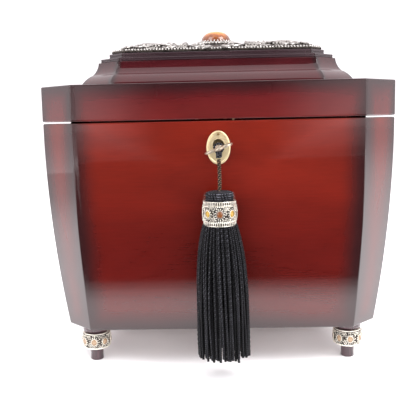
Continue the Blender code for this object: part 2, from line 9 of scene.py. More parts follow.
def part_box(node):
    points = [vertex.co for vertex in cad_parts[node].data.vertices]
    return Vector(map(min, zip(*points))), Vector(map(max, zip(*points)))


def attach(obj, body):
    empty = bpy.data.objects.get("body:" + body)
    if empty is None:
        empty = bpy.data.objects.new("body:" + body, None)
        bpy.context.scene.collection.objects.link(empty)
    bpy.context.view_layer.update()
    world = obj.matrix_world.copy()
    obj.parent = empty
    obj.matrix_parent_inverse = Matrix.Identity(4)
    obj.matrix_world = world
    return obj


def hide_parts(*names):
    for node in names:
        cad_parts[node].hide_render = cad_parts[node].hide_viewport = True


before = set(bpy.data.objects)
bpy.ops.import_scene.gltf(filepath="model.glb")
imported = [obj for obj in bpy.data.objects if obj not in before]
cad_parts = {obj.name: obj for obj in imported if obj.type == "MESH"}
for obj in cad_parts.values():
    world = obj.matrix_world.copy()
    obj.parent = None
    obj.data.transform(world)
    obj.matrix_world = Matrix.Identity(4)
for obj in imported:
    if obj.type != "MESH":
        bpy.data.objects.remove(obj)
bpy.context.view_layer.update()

MM = 0.001
SIDES = ("left", "right")

# Driving dimensions of the caddy, as the CAD model has them
CORNER_LEG = 28.8 * MM  # how far a canted corner cuts into each side
WALL = 20 * MM
SIDE_RADIUS = 1033 * MM  # of the curve that draws the sides in towards the feet
GAP = 0.3 * MM
COVE_FOOT = 27 * MM  # how far the lid's cove stands in from its edge
COVE_KNEE, KNEE_Z = 36.4 * MM, 236.2 * MM  # how far in its knee stands, and how high
COVE_TOP = 98.5 * MM  # half the width of the cove's top
TIER_LEG_SLOPE = 0.72  # how fast the canted corners shrink towards the top
KEY_TURN = math.radians(20)  # how far the key is turned at rest

# Edges, as a cabinet maker breaks them
ARRIS = 1.5 * MM
RIM = 1.2 * MM
ARC_STEPS = 4

RAIL_LOW, RAIL_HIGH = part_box("lid_rail_front")
LID_LOW, LID_HIGH = RAIL_LOW.z, RAIL_HIGH.z
HALF_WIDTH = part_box("lid_rail_right")[1].x
CASE_Y = (RAIL_LOW.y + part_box("lid_rail_back")[1].y) / 2
HALF_DEPTH = CASE_Y - RAIL_LOW.y
FRONT_Y = CASE_Y - HALF_DEPTH
BODY_LOW, BODY_HIGH = [corner.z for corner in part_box("left_panel")]
TASSEL_Y = sum(corner.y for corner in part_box("tassel_collar")) / 2
KEY_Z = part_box("cord_loop")[1].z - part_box("cord_loop")[1].x  # the loop is centred on the key

# The cast ornament's base rises in steps: (inset, height)
ORNAMENT_LOW, ORNAMENT_HIGH = [corner.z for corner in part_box("ornament_plate")]
ORNAMENT_STEPS = (
    (52.5 * MM, ORNAMENT_LOW + 1.7 * MM), (64.5 * MM, ORNAMENT_LOW + 4.7 * MM), (76.5 * MM, ORNAMENT_HIGH)
)

# Camera, at the photograph's viewing angle
CAMERA_PLACE = Vector((-3.4, -583.7, 200.1)) * MM
CAMERA_YAW = 0.0229
CAMERA_PITCH = -0.1255
CAMERA_ROLL = -0.0212
LENS = 59.09
SENSOR = 36.0


def new_object(name, data):
    obj = bpy.data.objects.new(name, data)
    bpy.context.scene.collection.objects.link(obj)
    return obj


# ---- camera, floor and light


def make_camera():
    data = bpy.data.cameras.new("camera")
    data.lens = LENS
    data.sensor_width = SENSOR
    data.clip_start = 0.01
    camera = new_object("camera", data)
    turn = Matrix.Rotation(CAMERA_YAW, 4, "Z") @ Matrix.Rotation(math.pi / 2 + CAMERA_PITCH, 4, "X")
    camera.matrix_world = Matrix.Translation(CAMERA_PLACE) @ turn @ Matrix.Rotation(CAMERA_ROLL, 4, "Z")
    bpy.context.scene.camera = camera


def add_softbox(name, place, width, height, power):
    """A rectangular light that faces the caddy's middle."""
    light = bpy.data.lights.new(name, "AREA")
    light.shape = "RECTANGLE"
    light.size = width
    light.size_y = height
    light.energy = power
    obj = new_object(name, light)
    obj.visible_camera = False
    obj.location = place
    direction = Vector((0, 0, 0.13)) - Vector(place)
    obj.rotation_euler = direction.to_track_quat("-Z", "Y").to_euler()
    return obj


def make_lights():
    world = bpy.data.worlds.new("studio")
    world.use_nodes = True
    background = world.node_tree.nodes["Background"]
    background.inputs["Color"].default_value = (1.0, 0.95, 0.98, 1)
    background.inputs["Strength"].default_value = 1.28
    bpy.context.scene.world = world
    bpy.context.scene.view_settings.view_transform = "Standard"
    top = add_softbox("top_softbox", (0.1, -0.1, 1.5), 1.4, 1.4, 30)
    fill = add_softbox("front_fill", (0, -1.6, 0.42), 1.8, 0.5, 34)
    for light in (top, fill):
        light.visible_glossy = False
    for side, power in ((-1, 12), (1, 24)):
        add_softbox("high_softbox", (1.2 * side, -1.0, 1.5), 1.0, 1.0, power)
        # A bright strip that draws a white line down each rounded front corner
        add_softbox("corner_strip", (1.2 * side, -1.25, 0.35), 0.16, 0.9, 4)


def stage_plane(name, low, high, material):
    """A flat sheet of the set between two corners."""
    low, high = Vector(low), Vector(high)
    across = Vector((high.x - low.x, 0, 0)) or Vector((0, high.y - low.y, 0))
    corners = [low, low + across, high, high - across]
    mesh = bpy.data.meshes.new(name)
    mesh.from_pydata([tuple(c) for c in corners], [], [(0, 1, 2, 3)])
    mesh.materials.append(material)
    obj = new_object(name, mesh)
    return obj


def flag_material(name, along, clear_at, dark_at, depth=1.0, heights=()):
    """Clear at one distance from the middle along an axis, and dark at the other. It also darkens
    from the first to the second of each pair of heights."""
    material, shader = plain_material(name)
    tree = shader.id_data
    place = node(tree, "ShaderNodeNewGeometry", output="Position")
    fade = between(axis_of(place, along).maths("ABSOLUTE"), clear_at, dark_at, 0.0, depth)
    for clear_z, dark_z in heights:
        fade = fade.maths("MAXIMUM", between(axis_of(place, "Z"), clear_z, dark_z))
    clear = node(tree, "ShaderNodeBsdfTransparent")
    black = node(tree, "ShaderNodeBsdfDiffuse", {"Color": (0.01, 0.008, 0.008, 1)})
    blend = node(tree, "ShaderNodeMixShader", {0: fade, 1: clear, 2: black})
    tree.links.new(blend.socket, tree.nodes["Material Output"].inputs["Surface"])
    return material


def make_set():
    floor, shader = plain_material("floor", roughness=0.6, specular_ior_level=0.1)
    speckle = noise_of(object_place(shader), 40, 3)
    feed(shader, base_color=ramp(speckle, 0.3, (0.90, 0.90, 0.91), 0.7, (0.92, 0.92, 0.93)))
    stage_plane("floor", (-6, -6, 0), (6, 6, 0), floor)
    # Black flags that only reflections see, as a photographer sets them in front of a glossy box
    near = flag_material("near_flag", "Y", 0.148, 0.224)
    far = flag_material("far_flag", "X", 0.42, 0.13, heights=((0.24, -0.02), (0.6, 0.8)))
    left_near = flag_material("left_near_flag", "X", 0.45, 0.95, 0.36)
    left_far = flag_material("left_far_flag", "Z", 0.9, 0.4, 0.5)
    for name, low, high, material in (
        ("near_flag", (-0.5, -1.4, 0.002), (0.5, -0.15, 0.002), near),
        ("far_flag", (-0.45, -1.4, 0.0), (0.45, -1.4, 2.6), far),
        ("left_near_flag", (-1.4, -0.7, 0.004), (-0.45, 1.2, 0.004), left_near),
        ("left_far_flag", (-1.4, -0.7, 0.0), (-1.4, 1.2, 0.9), left_far),
    ):
        flag = stage_plane(name, low, high, material)
        flag.visible_camera = False
        flag.visible_diffuse = False
        flag.visible_shadow = False
        flag.visible_transmission = False


# ---- node helpers


class Value:
    """A node's output. Arithmetic on it adds Math nodes to its tree."""

    def __init__(self, socket):
        self.socket = socket
        self.tree = socket.id_data

    def maths(self, operation, other=0.0):
        return node(self.tree, "ShaderNodeMath", {0: self, 1: other}, operation=operation)

    def __add__(self, other):
        return self.maths("ADD", other)

    def __sub__(self, other):
        return self.maths("SUBTRACT", other)

    def __mul__(self, other):
        return self.maths("MULTIPLY", other)

    def __pow__(self, other):
        return self.maths("POWER", other)


def node(tree, kind, inputs=None, output=0, **settings):
    """One output of a new node with these settings and inputs."""
    made = tree.nodes.new(kind)
    for key, value in settings.items():
        setattr(made, key, value)
    for key, value in (inputs or {}).items():
        if isinstance(value, Value):
            tree.links.new(value.socket, made.inputs[key])
        else:
            made.inputs[key].default_value = value
    return Value(made.outputs[output])


def plain_material(name, **values):
    """A Principled material with these constant values, and its shader."""
    material = bpy.data.materials.new(name)
    material.use_nodes = True
    shader = material.node_tree.nodes["Principled BSDF"]
    for key, value in values.items():
        title = key.replace("_", " ").title().replace("Ior", "IOR")
        shader.inputs[title].default_value = value
    return material, shader


def feed(shader, **inputs):
    for key, value in inputs.items():
        shader.id_data.links.new(value.socket, shader.inputs[key.replace("_", " ").title()])


def object_place(shader):
    return node(shader.id_data, "ShaderNodeTexCoord", output="Object")


def uv_place(shader, uv_map):
    return node(shader.id_data, "ShaderNodeUVMap", uv_map=uv_map)


def attribute(shader, name):
    return node(shader.id_data, "ShaderNodeAttribute", output="Fac", attribute_name=name)


def axis_of(vector, axis):
    return node(vector.tree, "ShaderNodeSeparateXYZ", {0: vector}, axis)


def vector_maths(operation, vector, other=(0, 0, 0), output=0):
    return node(vector.tree, "ShaderNodeVectorMath", {0: vector, 1: other}, output, operation=operation)


def noise_of(vector, scale, detail=2.0, roughness=0.5, distortion=0.0):
    """Noise at this scale, or at a scale for each axis."""
    if isinstance(scale, tuple):
        vector = node(vector.tree, "ShaderNodeMapping", {"Vector": vector, "Scale": scale})
        scale = 1
    values = {"Scale": scale, "Detail": detail, "Roughness": roughness, "Distortion": distortion}
    return node(vector.tree, "ShaderNodeTexNoise", {"Vector": vector, **values})


def between(value, low, high, start=0.0, end=1.0):
    """The value's share of the way from low to high, smoothed, as a number from start to end."""
    values = {"Value": value, "From Min": low, "From Max": high, "To Min": start, "To Max": end}
    return node(value.tree, "ShaderNodeMapRange", values, interpolation_type="SMOOTHSTEP")


def ramp(value, low, first, high, second):
    """The first colour up to low, the second from high, and a blend between."""
    made = node(value.tree, "ShaderNodeValToRGB", {"Fac": value})
    elements = made.socket.node.color_ramp.elements
    for element, position, colour in ((elements[0], low, first), (elements[1], high, second)):
        element.position = position
        element.color = (*colour, 1)
    return made


def blended(factor, first, second, how="MIX"):
    """The second colour over the first, by this factor."""
    tree = next(value.tree for value in (factor, first, second) if isinstance(value, Value))
    first, second = [c if isinstance(c, Value) else (*c, 1) for c in (first, second)]
    inputs = {0: factor, 6: first, 7: second}
    return node(tree, "ShaderNodeMix", inputs, 2, data_type="RGBA", blend_type=how)


def bump(height, distance, strength=1.0, below=None):
    inputs = {"Height": height, "Distance": distance, "Strength": strength}
    if below is not None:
        inputs["Normal"] = below
    return node(height.tree, "ShaderNodeBump", inputs)


# ---- materials

BURST = (0.010, 0.0032, 0.0038)  # the nearly black shading of the lacquer
SCUFF = (0.20, 0.11, 0.10)
TWIST = 1.6 * MM  # from one fine coil of a thread to the next


def wood_colour(grain, light, dark):
    """Figure, fine grain and pores, drawn along the first axis of the grain's coordinates."""
    figure = noise_of(grain, (9, 26, 1), 4, 0.55, 0.6)
    streaks = noise_of(grain, (55, 950, 1), 3, 0.6, 0.2)
    pores = noise_of(grain, (190, 2300, 1), 1)
    colour = ramp(figure, 0.25, dark, 0.75, light)
    lines = ramp(streaks, 0.30, (0.80, 0.76, 0.76), 0.65, (1.05, 1.05, 1.05))
    return blended(0.7, colour, lines, "MULTIPLY"), streaks, between(pores, 0.66, 0.74)


def lacquered_wood(name, light, dark, burst_width, dark_z, light_z):
    """Glossy lacquer over red wood, shaded nearly black towards the panels' edges, and with painted
    shade: darker at the height dark_z than at light_z."""
    values = {"coat_roughness": 0.035, "coat_ior": 1.62, "specular_ior_level": 0.06}
    material, shader = plain_material(name, coat_weight=1.0, **values)
    grain = uv_place(shader, "grain")
    colour, streaks, pores = wood_colour(grain, light, dark)
    # Painted shade: the colour is darkened with height, from light_z towards dark_z.
    depth = between(axis_of(object_place(shader), "Z"), dark_z, light_z)
    colour = blended(depth, blended(1.0, colour, (0.62, 0.38, 0.62), "MULTIPLY"), colour)
    colour = blended(pores * 0.22, colour, BURST)
    cloud = noise_of(grain, 30, 3)
    reach = attribute(shader, "edge") + (cloud - 0.5) * 0.006
    colour = blended(between(reach, 0.0, burst_width, 0.92, 0.0), colour, BURST)
    scuffs = between(noise_of(grain, (180, 420, 1), 6, 0.7), 0.69, 0.76)
    colour = blended(scuffs * 0.3, colour, SCUFF)
    rough = between(streaks, 0.3, 0.7, 0.30, 0.42) + scuffs * 0.3
    lacquer = bump(noise_of(grain, 14, 2), 0.0002, 0.6)
    lacquer = bump(noise_of(grain, 420, 2), 0.000005, 0.6, lacquer)
    wood = bump(streaks, 0.000015, 0.6, lacquer)
    feed(shader, base_color=colour, roughness=rough, coat_normal=lacquer, normal=wood)
    return material


def turned_wood(name):
    """The feet: dark purple-brown, grain upright, worn lighter by handling."""
    material, shader = plain_material(name, coat_weight=0.8, coat_roughness=0.08)
    place = object_place(shader)
    streaks = noise_of(place, (700, 700, 40), 3, 0.6)
    colour = ramp(streaks, 0.3, (0.012, 0.004, 0.006), 0.7, (0.045, 0.014, 0.021))
    worn = between(noise_of(place, 260, 4), 0.6, 0.75)
    colour = blended(worn * 0.4, colour, (0.09, 0.05, 0.05))
    rough = between(streaks, 0.3, 0.7, 0.25, 0.4)
    feed(shader, base_color=colour, roughness=rough, normal=bump(streaks, 0.00005, 0.6))
    return material


def bare_wood(name):
    """Unlacquered inner wood, with the grain along X."""
    material, shader = plain_material(name, coat_weight=0.15, coat_roughness=0.3)
    light, dark = (0.16, 0.045, 0.024), (0.09, 0.024, 0.014)
    colour, streaks, pores = wood_colour(object_place(shader), light, dark)
    colour = blended(pores * 0.6, colour, (0.03, 0.01, 0.008))
    rough = between(streaks, 0.3, 0.7, 0.42, 0.6)
    feed(shader, base_color=colour, roughness=rough, normal=bump(streaks, 0.00008, 0.7))
    return material


def metal(name, bright, tarnish, roughness, tarnish_share):
    """Cast or rolled metal: tarnish in patches, fine scratches, roughness that varies."""
    material, shader = plain_material(name, metallic=1.0)
    place = object_place(shader)
    patches = noise_of(place, 320, 5, 0.65)
    shade = between(patches, 0.62 - tarnish_share, 0.86 - tarnish_share)
    fine = ramp(noise_of(place, 1900, 2), 0.3, (0.7, 0.7, 0.7), 0.7, (1, 1, 1))
    colour = blended(0.35, blended(shade, bright, tarnish), fine, "MULTIPLY")
    scratches = noise_of(place, (900, 60, 5200), 2)
    rough = between(patches, 0.3, 0.8, roughness, roughness + 0.2)
    rough += between(scratches, 0.4, 0.7, -0.04, 0.05)
    relief = bump(scratches * 0.3 + patches, 0.00003, 0.5)
    feed(shader, base_color=colour, roughness=rough, normal=relief)
    return material


def felt(name):
    values = {"sheen_weight": 0.08, "sheen_roughness": 0.6, "specular_ior_level": 0.1}
    material, shader = plain_material(name, **values)
    place = object_place(shader)
    mat = noise_of(place, 900, 5, 0.7)
    fibres = noise_of(place, (3000, 900, 900), 3, 0.7)
    colour = ramp(mat, 0.3, (0.004, 0.0035, 0.004), 0.75, (0.017, 0.015, 0.016))
    rough = between(mat, 0.2, 0.8, 0.85, 1.0)
    feed(shader, base_color=colour, roughness=rough, normal=bump(mat + fibres * 0.6, 0.0004, 0.8))
    return material


def thread(name, groove, ridge):
    """Lustrous twisted thread, with painted light: near black in the grooves (painted shade) and
    lighter on the ridges and along each coil (painted highlight). The mesh's lobe attribute is 0
    in a groove and 1 on a ridge.
    """
    values = {"sheen_weight": 0.02, "sheen_roughness": 0.35, "specular_ior_level": 0.12}
    material, shader = plain_material(name, **values)
    place = object_place(shader)
    fibre = noise_of(place, (5200, 5200, 1300), 3, 0.6)
    patch = noise_of(place, 120, 3)
    strand = uv_place(shader, "strand")
    # Painted highlight: light bands along each coil of the twist.
    coil = axis_of(strand, "Y") * (math.tau / TWIST) + axis_of(strand, "X") * (2 * math.tau)
    coil = coil.maths("SINE") * 0.5 + 0.5
    # Painted shade in the grooves, and painted highlight on the ridges and coils.
    lit = attribute(shader, "lobe") ** 1.6 * between(patch, 0.3, 0.7, 0.5, 1.0) * coil**1.3
    hairs = ramp(fibre, 0.3, (0.5, 0.5, 0.5), 0.7, (1.2, 1.2, 1.2))
    colour = blended(0.7, blended(lit, groove, ridge), hairs, "MULTIPLY")
    rough = between(fibre, 0.3, 0.7, 0.34, 0.55)
    relief = bump(fibre, 0.0002, 0.7, bump(coil, 0.0005, 1.0))
    feed(shader, base_color=colour, roughness=rough, normal=relief)
    return material


def stone_material(name, centre, rim, radius, transmission):
    """A polished stone with painted shade: lighter in the middle of the lid and painted darker round its
    rim.
    """
    values = {"coat_weight": 0.45, "coat_roughness": 0.02, "ior": 1.54}
    material, shader = plain_material(name, transmission_weight=transmission, **values)
    place = vector_maths("SUBTRACT", object_place(shader), (0, CASE_Y, 0))
    distance = vector_maths("LENGTH", vector_maths("MULTIPLY", place, (1, 1, 0)), output="Value")
    cloud = noise_of(place, 1.6 / radius, 4, 0.6, 0.8)
    # Painted shade: the stone darkens from its middle out to its rim.
    shade = between(distance + (cloud - 0.5) * (radius * 0.5), radius * 0.55, radius * 1.02)
    veins = between(noise_of(place, 4 / radius, 3), 0.45, 0.7)
    light = blended(veins * 0.4, centre, [min(1, c * 1.7 + 0.05) for c in centre])
    rough = between(cloud, 0.3, 0.7, 0.05, 0.12)
    feed(shader, base_color=blended(shade, light, rim), roughness=rough)
    return material


# ---- mesh helpers


def turns(count):
    """This many angles, evenly round a circle."""
    return [math.tau * i / count for i in range(count)]


def shifted(points, reach, height):
    """Profile points given in millimetres from this reach and height."""
    return [(reach + x * MM, height + z * MM) for x, z in points]


def mesh_from(bm, name, sharp=math.radians(35)):
    bmesh.ops.recalc_face_normals(bm, faces=bm.faces)
    mesh = bpy.data.meshes.new(name)
    bm.to_mesh(mesh)
    bm.free()
    mesh.shade_smooth()
    mesh.set_sharp_from_angle(angle=sharp)
    return mesh


def piece(name, shape, body, material, replaced=()):
    """A finished piece of the caddy, from a mesh or a bmesh, that rides on a CAD body."""
    mesh = mesh_from(shape, name) if isinstance(shape, bmesh.types.BMesh) else shape
    obj = new_object(name, mesh)
    mesh.materials.clear()
    mesh.materials.append(material)
    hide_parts(*replaced)
    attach(obj, body)
    return obj


def even_normals(obj):
    obj.modifiers.new("Even normals", "WEIGHTED_NORMAL").keep_sharp = True


def add_bevel(obj, width, segments, limit):
    """Rounds the edges that are sharper than this many degrees."""
    bevel = obj.modifiers.new("Edges", "BEVEL")
    bevel.width = width
    bevel.segments = segments
    bevel.limit_method = "ANGLE"
    bevel.angle_limit = math.radians(limit)


def join_rings(bm, rings, closed=False):
    """Quads between rings of vertices. The ends are capped unless the rings close on themselves."""
    pairs = list(zip(rings, rings[1:]))
    if closed:
        pairs.append((rings[-1], rings[0]))
    faces = []
    for below, above in pairs:
        for i in range(len(below)):
            j = (i + 1) % len(below)
            faces.append(bm.faces.new((below[i], below[j], above[j], above[i])))
    if not closed:
        bm.faces.new(list(reversed(rings[0])))
        bm.faces.new(rings[-1])
    return faces


def lathe(bm, profile, steps=48, matrix=Matrix()):
    """A solid turned about the matrix's Z axis from a (radius, height) profile, bottom to top."""
    rings = []
    for radius, height in profile:
        ring = []
        for angle in turns(steps):
            place = matrix @ Vector((radius * math.cos(angle), radius * math.sin(angle), height))
            ring.append(bm.verts.new(place))
        rings.append(ring)
    join_rings(bm, rings)


def rounded(points, radius, steps=3):
    """The open polyline with its inner corners rounded."""
    result = [Vector(points[0])]
    for before, here, after in zip(points, points[1:], points[2:]):
        before, here, after = Vector(before), Vector(here), Vector(after)
        reach = min(radius, (before - here).length * 0.45, (after - here).length * 0.45)
        start = here + (before - here).normalized() * reach
        end = here + (after - here).normalized() * reach
        for i in range(steps + 1):
            t = i / steps
            result.append((1 - t) ** 2 * start + 2 * t * (1 - t) * here + t**2 * end)
    result.append(Vector(points[-1]))
    return result


def spread(points, longest):
    """The polyline with points added so that no stretch is longer than this."""
    result = [points[0]]
    for before, after in zip(points, points[1:]):
        count = max(1, math.ceil((after - before).length / longest))
        result += [before.lerp(after, i / count) for i in range(1, count + 1)]
    return result


def tube(bm, path, radius, sides=8, lobes=0, depth=0.0, pitch=1.0, closed=False, layers=None,
         phase=0.0, painted_light=lambda away: 1.0):
    """A tube along the path. radius is a number or a function of the share of the length. With
    lobes it is a twisted strand: that many plies, which turn once round in each pitch. layers are
    a strand's lobe layer, scaled by painted_light of the way out from the path (painted shade on
    the strand's sides), and its UV layer: (share of the turn, run in metres)."""
    path = [Vector(p) for p in path]
    count = len(path)
    size = radius if callable(radius) else lambda share: radius
    side = None
    rings, runs = [], []
    run = 0.0
    for i, point in enumerate(path):
        before = path[i - 1] if i or closed else path[0]
        after = path[(i + 1) % count] if i < count - 1 or closed else path[-1]
        along = (after - before).normalized()
        side = along.orthogonal() if side is None else side - along * side.dot(along)
        side.normalize()
        other = along.cross(side)
        run += (point - path[i - 1]).length if i else 0
        ring = []
        for angle in turns(sides):
            twist = lobes * (angle - math.tau * run / pitch) + phase
            lobe = 0.5 + 0.5 * math.cos(twist) if lobes else 1.0
            reach = size(i / (count - 1)) * (1 - depth * (1 - lobe))
            away = math.cos(angle) * side + math.sin(angle) * other
            vert = bm.verts.new(point + reach * away)
            if layers:
                # Painted shade: the lobe layer is dimmed by painted_light, darker on the side facing away.
                vert[layers[0]] = lobe * painted_light(away)
            ring.append(vert)
        rings.append(ring)
        runs.append(run)
    faces = join_rings(bm, rings, closed)
    for number, face in enumerate(faces if layers else ()):
        row, j = divmod(number, sides)
        after = runs[row + 1] if row + 1 < count else run + (path[0] - path[-1]).length
        places = ((j, runs[row]), (j + 1, runs[row]), (j + 1, after), (j, after))
        for loop, (turn, at) in zip(face.loops, places):
            loop[layers[1]].uv = (turn / sides, at + phase * MM)


def bead(bm, centre, radius, stretch=(1, 1, 1), matrix=Matrix(), detail=1):
    """A small ball or egg at this place in the matrix's axes."""
    place = matrix @ Matrix.Translation(centre) @ Matrix.Diagonal((*(Vector(stretch) * radius), 1))
    bmesh.ops.create_icosphere(bm, subdivisions=detail, radius=1, matrix=place)


def box_cutter(low, high):
    bm = bmesh.new()
    middle = (Vector(low) + Vector(high)) / 2
    size = Vector(high) - Vector(low)
    bmesh.ops.create_cube(bm, size=1, matrix=Matrix.Translation(middle) @ Matrix.Diagonal((*size, 1)))
    return mesh_from(bm, "cutter")


def prism_cutter(outline, low_y, high_y):
    """A prism along Y from an outline in X and Z."""
    bm = bmesh.new()
    join_rings(bm, [[bm.verts.new((x, y, z)) for x, z in outline] for y in (low_y, high_y)])
    return mesh_from(bm, "cutter")


def cut(mesh, cutters):
    """The mesh with these meshes taken out of it."""
    obj = new_object("work", mesh)
    helpers = []
    for cutter in cutters:
        helper = new_object("cutter", cutter)
        helpers.append(helper)
        modifier = obj.modifiers.new("cut", "BOOLEAN")
        modifier.operation = "DIFFERENCE"
        modifier.object = helper
    graph = bpy.context.evaluated_depsgraph_get()
    result = bpy.data.meshes.new_from_object(obj.evaluated_get(graph))
    for helper in (obj, *helpers):
        bpy.data.objects.remove(helper)
    result.set_sharp_from_angle(angle=math.radians(35))
    return result


# ---- the canted plan


def body_leg(inset):
    return max(CORNER_LEG - (2 - math.sqrt(2)) * inset, MM)


def tier_leg(inset):
    return max(CORNER_LEG - TIER_LEG_SLOPE * (inset - COVE_FOOT), 3 * MM)


def side_inset(z):
    """How far the body's curved side stands in at this height."""
    return GAP + SIDE_RADIUS - math.sqrt(SIDE_RADIUS**2 - (BODY_HIGH - z) ** 2)


def plan_corners(inset, leg_at):
    x, y, leg = HALF_WIDTH - inset, HALF_DEPTH - inset, leg_at(inset)
    right = [(x - leg, -y), (x, leg - y), (x, y - leg), (x - leg, y)]
    return [Vector(p) for p in right + [(-px, -py) for px, py in right]]


# Where the columns stand along a side, as shares of it: close together near its ends
COLUMN_SHARES = [0.015, 0.05, 0.1] + [0.1 + 0.8 * i / 12 for i in range(1, 12)] + [0.9, 0.95, 0.985]


def plan_points(inset, leg_at, arris):
    """(point, side, distance to the side's nearer end) round the plan, corners rounded."""
    corners = plan_corners(inset, leg_at)
    trim = arris * math.tan(math.pi / 8)
    result = []
    for side in range(8):
        start, end = corners[side - 1], corners[side]
        along = (end - start).normalized()
        start, end = start + along * trim, end - along * trim
        length = (end - start).length
        for share in COLUMN_SHARES:
            result.append((start.lerp(end, share), side, min(share, 1 - share) * length))
        after = (corners[(side + 1) % 8] - corners[side]).normalized()
        outward = Vector((along.y, -along.x))
        centre = end - outward * arris
        turn = along.angle_signed(after)
        for i in range(ARC_STEPS + 1):
            spoke = Matrix.Rotation(-turn * i / ARC_STEPS, 2) @ outward
            owner = side if i <= ARC_STEPS // 2 else (side + 1) % 8
            result.append((centre + spoke * arris, owner, 0.0))
    return result


def octagon_loft(name, rows, leg_at, arris=ARRIS, closed=False, edge_low=None, edge_high=None):
    """A mesh through canted plans at these (inset, height) rows, with the wood's coordinates in
    the UV map grain, and in the attribute edge the distance to the panel's nearest edge."""
    bm = bmesh.new()
    edge = bm.verts.layers.float.new("edge")
    grain = bm.loops.layers.uv.new("grain")
    edges = [z for z in (edge_low, edge_high) if z is not None]
    rings, where = [], {}
    run = 0.0
    for number, row in enumerate(rows):
        run += (row - rows[number - 1]).length if number else 0.0
        inset, z = row
        ring = []
        perimeter = 0.0
        previous = None
        for point, side, near in plan_points(inset, leg_at, arris):
            perimeter += (point - previous).length if previous is not None else 0.0
            previous = point
            vert = bm.verts.new((point.x, point.y + CASE_Y, z))
            vert[edge] = min([near] + [abs(z - edge_z) for edge_z in edges])
            where[vert] = (perimeter, run, side)
            ring.append(vert)
        rings.append(ring)
    for face in join_rings(bm, rings, closed):
        side = where[face.verts[0]][2]
        offset = 3.7 * side
        for loop in face.loops:
            along, up, _ = where[loop.vert]
            loop[grain].uv = (up + offset, along) if side % 2 else (along + offset, up)
    for face in bm.faces:
        if len(face.verts) > 4:
            for loop in face.loops:
                loop[grain].uv = loop.vert.co.xy
    return mesh_from(bm, name)


# ---- wooden case and lid


def keyhole_outline():
    """The round hole and the slot under it, in X and Z."""
    radius, half = 4.3 * MM, 1.6 * MM
    centre, bottom = KEY_Z + 2 * MM, KEY_Z - 8.2 * MM
    start = -math.acos(half / radius)
    turn = math.pi - 2 * start
    arc = [(start + turn * i / 28) for i in range(29)]
    points = [(radius * math.cos(a), centre + radius * math.sin(a)) for a in arc]
    return points + [(-half, bottom), (half, bottom)]


def leaf_recesses(leaf, bottom, top):
    """Cutters for the recesses of two hinge leaves, open at the back."""
    cutters = []
    for side in SIDES:
        low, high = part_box(f"{leaf}_{side}")
        corner = (high.x + GAP, CASE_Y + HALF_DEPTH + MM, top)
        cutters.append(box_cutter((low.x - GAP, low.y - GAP, bottom), corner))
    return cutters


def make_body(lacquer):
    heights = [BODY_LOW + (BODY_HIGH - BODY_LOW) * i / 24 for i in range(25)]
    outer = [Vector((side_inset(z), z)) for z in heights]
    inner = [Vector((WALL, BODY_HIGH)), Vector((WALL, BODY_LOW))]
    middle = Vector(((WALL + outer[0].x) / 2, BODY_LOW))
    loop = rounded([middle, *outer, *inner, middle], RIM)
    rows = spread(loop[:-1], 9 * MM)
    mesh = octagon_loft("case_shell", rows, body_leg, closed=True, edge_low=BODY_LOW)
    low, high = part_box("lock_plate")
    play = 0.4 * MM
    pocket_low = (low.x - play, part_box("lock_case")[0].y - GAP, low.z - play)
    cutters = [
        prism_cutter(keyhole_outline(), FRONT_Y - 5 * MM, FRONT_Y + 25 * MM),
        box_cutter(pocket_low, (high.x + play, high.y + 2 * MM, BODY_HIGH + MM)),
        *leaf_recesses("body_leaf", BODY_HIGH - 1.5 * MM, BODY_HIGH + MM),
    ]
    posts = [f"corner_post_{end}_{side}" for end in ("front", "back") for side in SIDES]
    panels = [f"{side}_panel" for side in ("front", "back", *SIDES)]
    mesh = cut(mesh, cutters)
    even_normals(piece("case_shell", mesh, "case", lacquer, panels + posts))


def make_lid(lacquer):
    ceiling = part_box("lid_top_panel")[0].z
    line = [(WALL + 30 * MM, ceiling), (WALL, ceiling), (WALL, LID_LOW), (0, LID_LOW), (0, LID_HIGH)]
    line.append((COVE_FOOT + 12 * MM, LID_HIGH))
    rows = spread(rounded(line, RIM), 7 * MM)
    mesh = octagon_loft("lid_shell", rows, body_leg, edge_high=LID_HIGH)
    low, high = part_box("strike_plate")
    seat_high = (high.x + GAP, high.y + 2 * MM, LID_LOW + 1.5 * MM)
    cutters = [
        box_cutter((low.x - GAP, low.y - GAP, LID_LOW - MM), seat_high),
        *leaf_recesses("lid_leaf", LID_LOW - MM, LID_LOW + 1.5 * MM),
    ]
    corners = [f"lid_corner_{end}_{side}" for end in ("front", "back") for side in SIDES]
    rails = [f"lid_rail_{side}" for side in ("front", "back", *SIDES)]
    replaced = rails + corners + ["lid_top_panel"]
    even_normals(piece("lid_shell", cut(mesh, cutters), "lid", lacquer, replaced))


def make_cove(lacquer):
    """The cove: a flare to a crisp knee, then a hollow that turns nearly upright."""
    low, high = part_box("cove_block")
    foot, knee, top = COVE_FOOT, COVE_KNEE, HALF_WIDTH - COVE_TOP
    start_z = low.z + 0.9 * MM
    rows = [(foot + 14 * MM, low.z), (foot + 0.5 * MM, low.z), (foot, low.z + 0.5 * MM)]
    for i in range(11):
        t = i / 10
        u, v = t**1.35, 1 - (1 - t) ** 1.25
        rows.append((foot + (knee - foot) * u, start_z + (KNEE_Z - low.z - 0.9 * MM) * v))
    for i in range(1, 9):
        t = i / 8
        u, v = 1 - (1 - t) ** 1.7, t**1.15
        rows.append((knee + (top - knee) * u, KNEE_Z + (high.z - KNEE_Z) * v))
    rows.append((top + 14 * MM, high.z))
    mesh = octagon_loft("cove", [Vector(row) for row in rows], tier_leg, arris=0.9 * MM)
    even_normals(piece("cove", mesh, "lid", lacquer, ["cove_block"]))


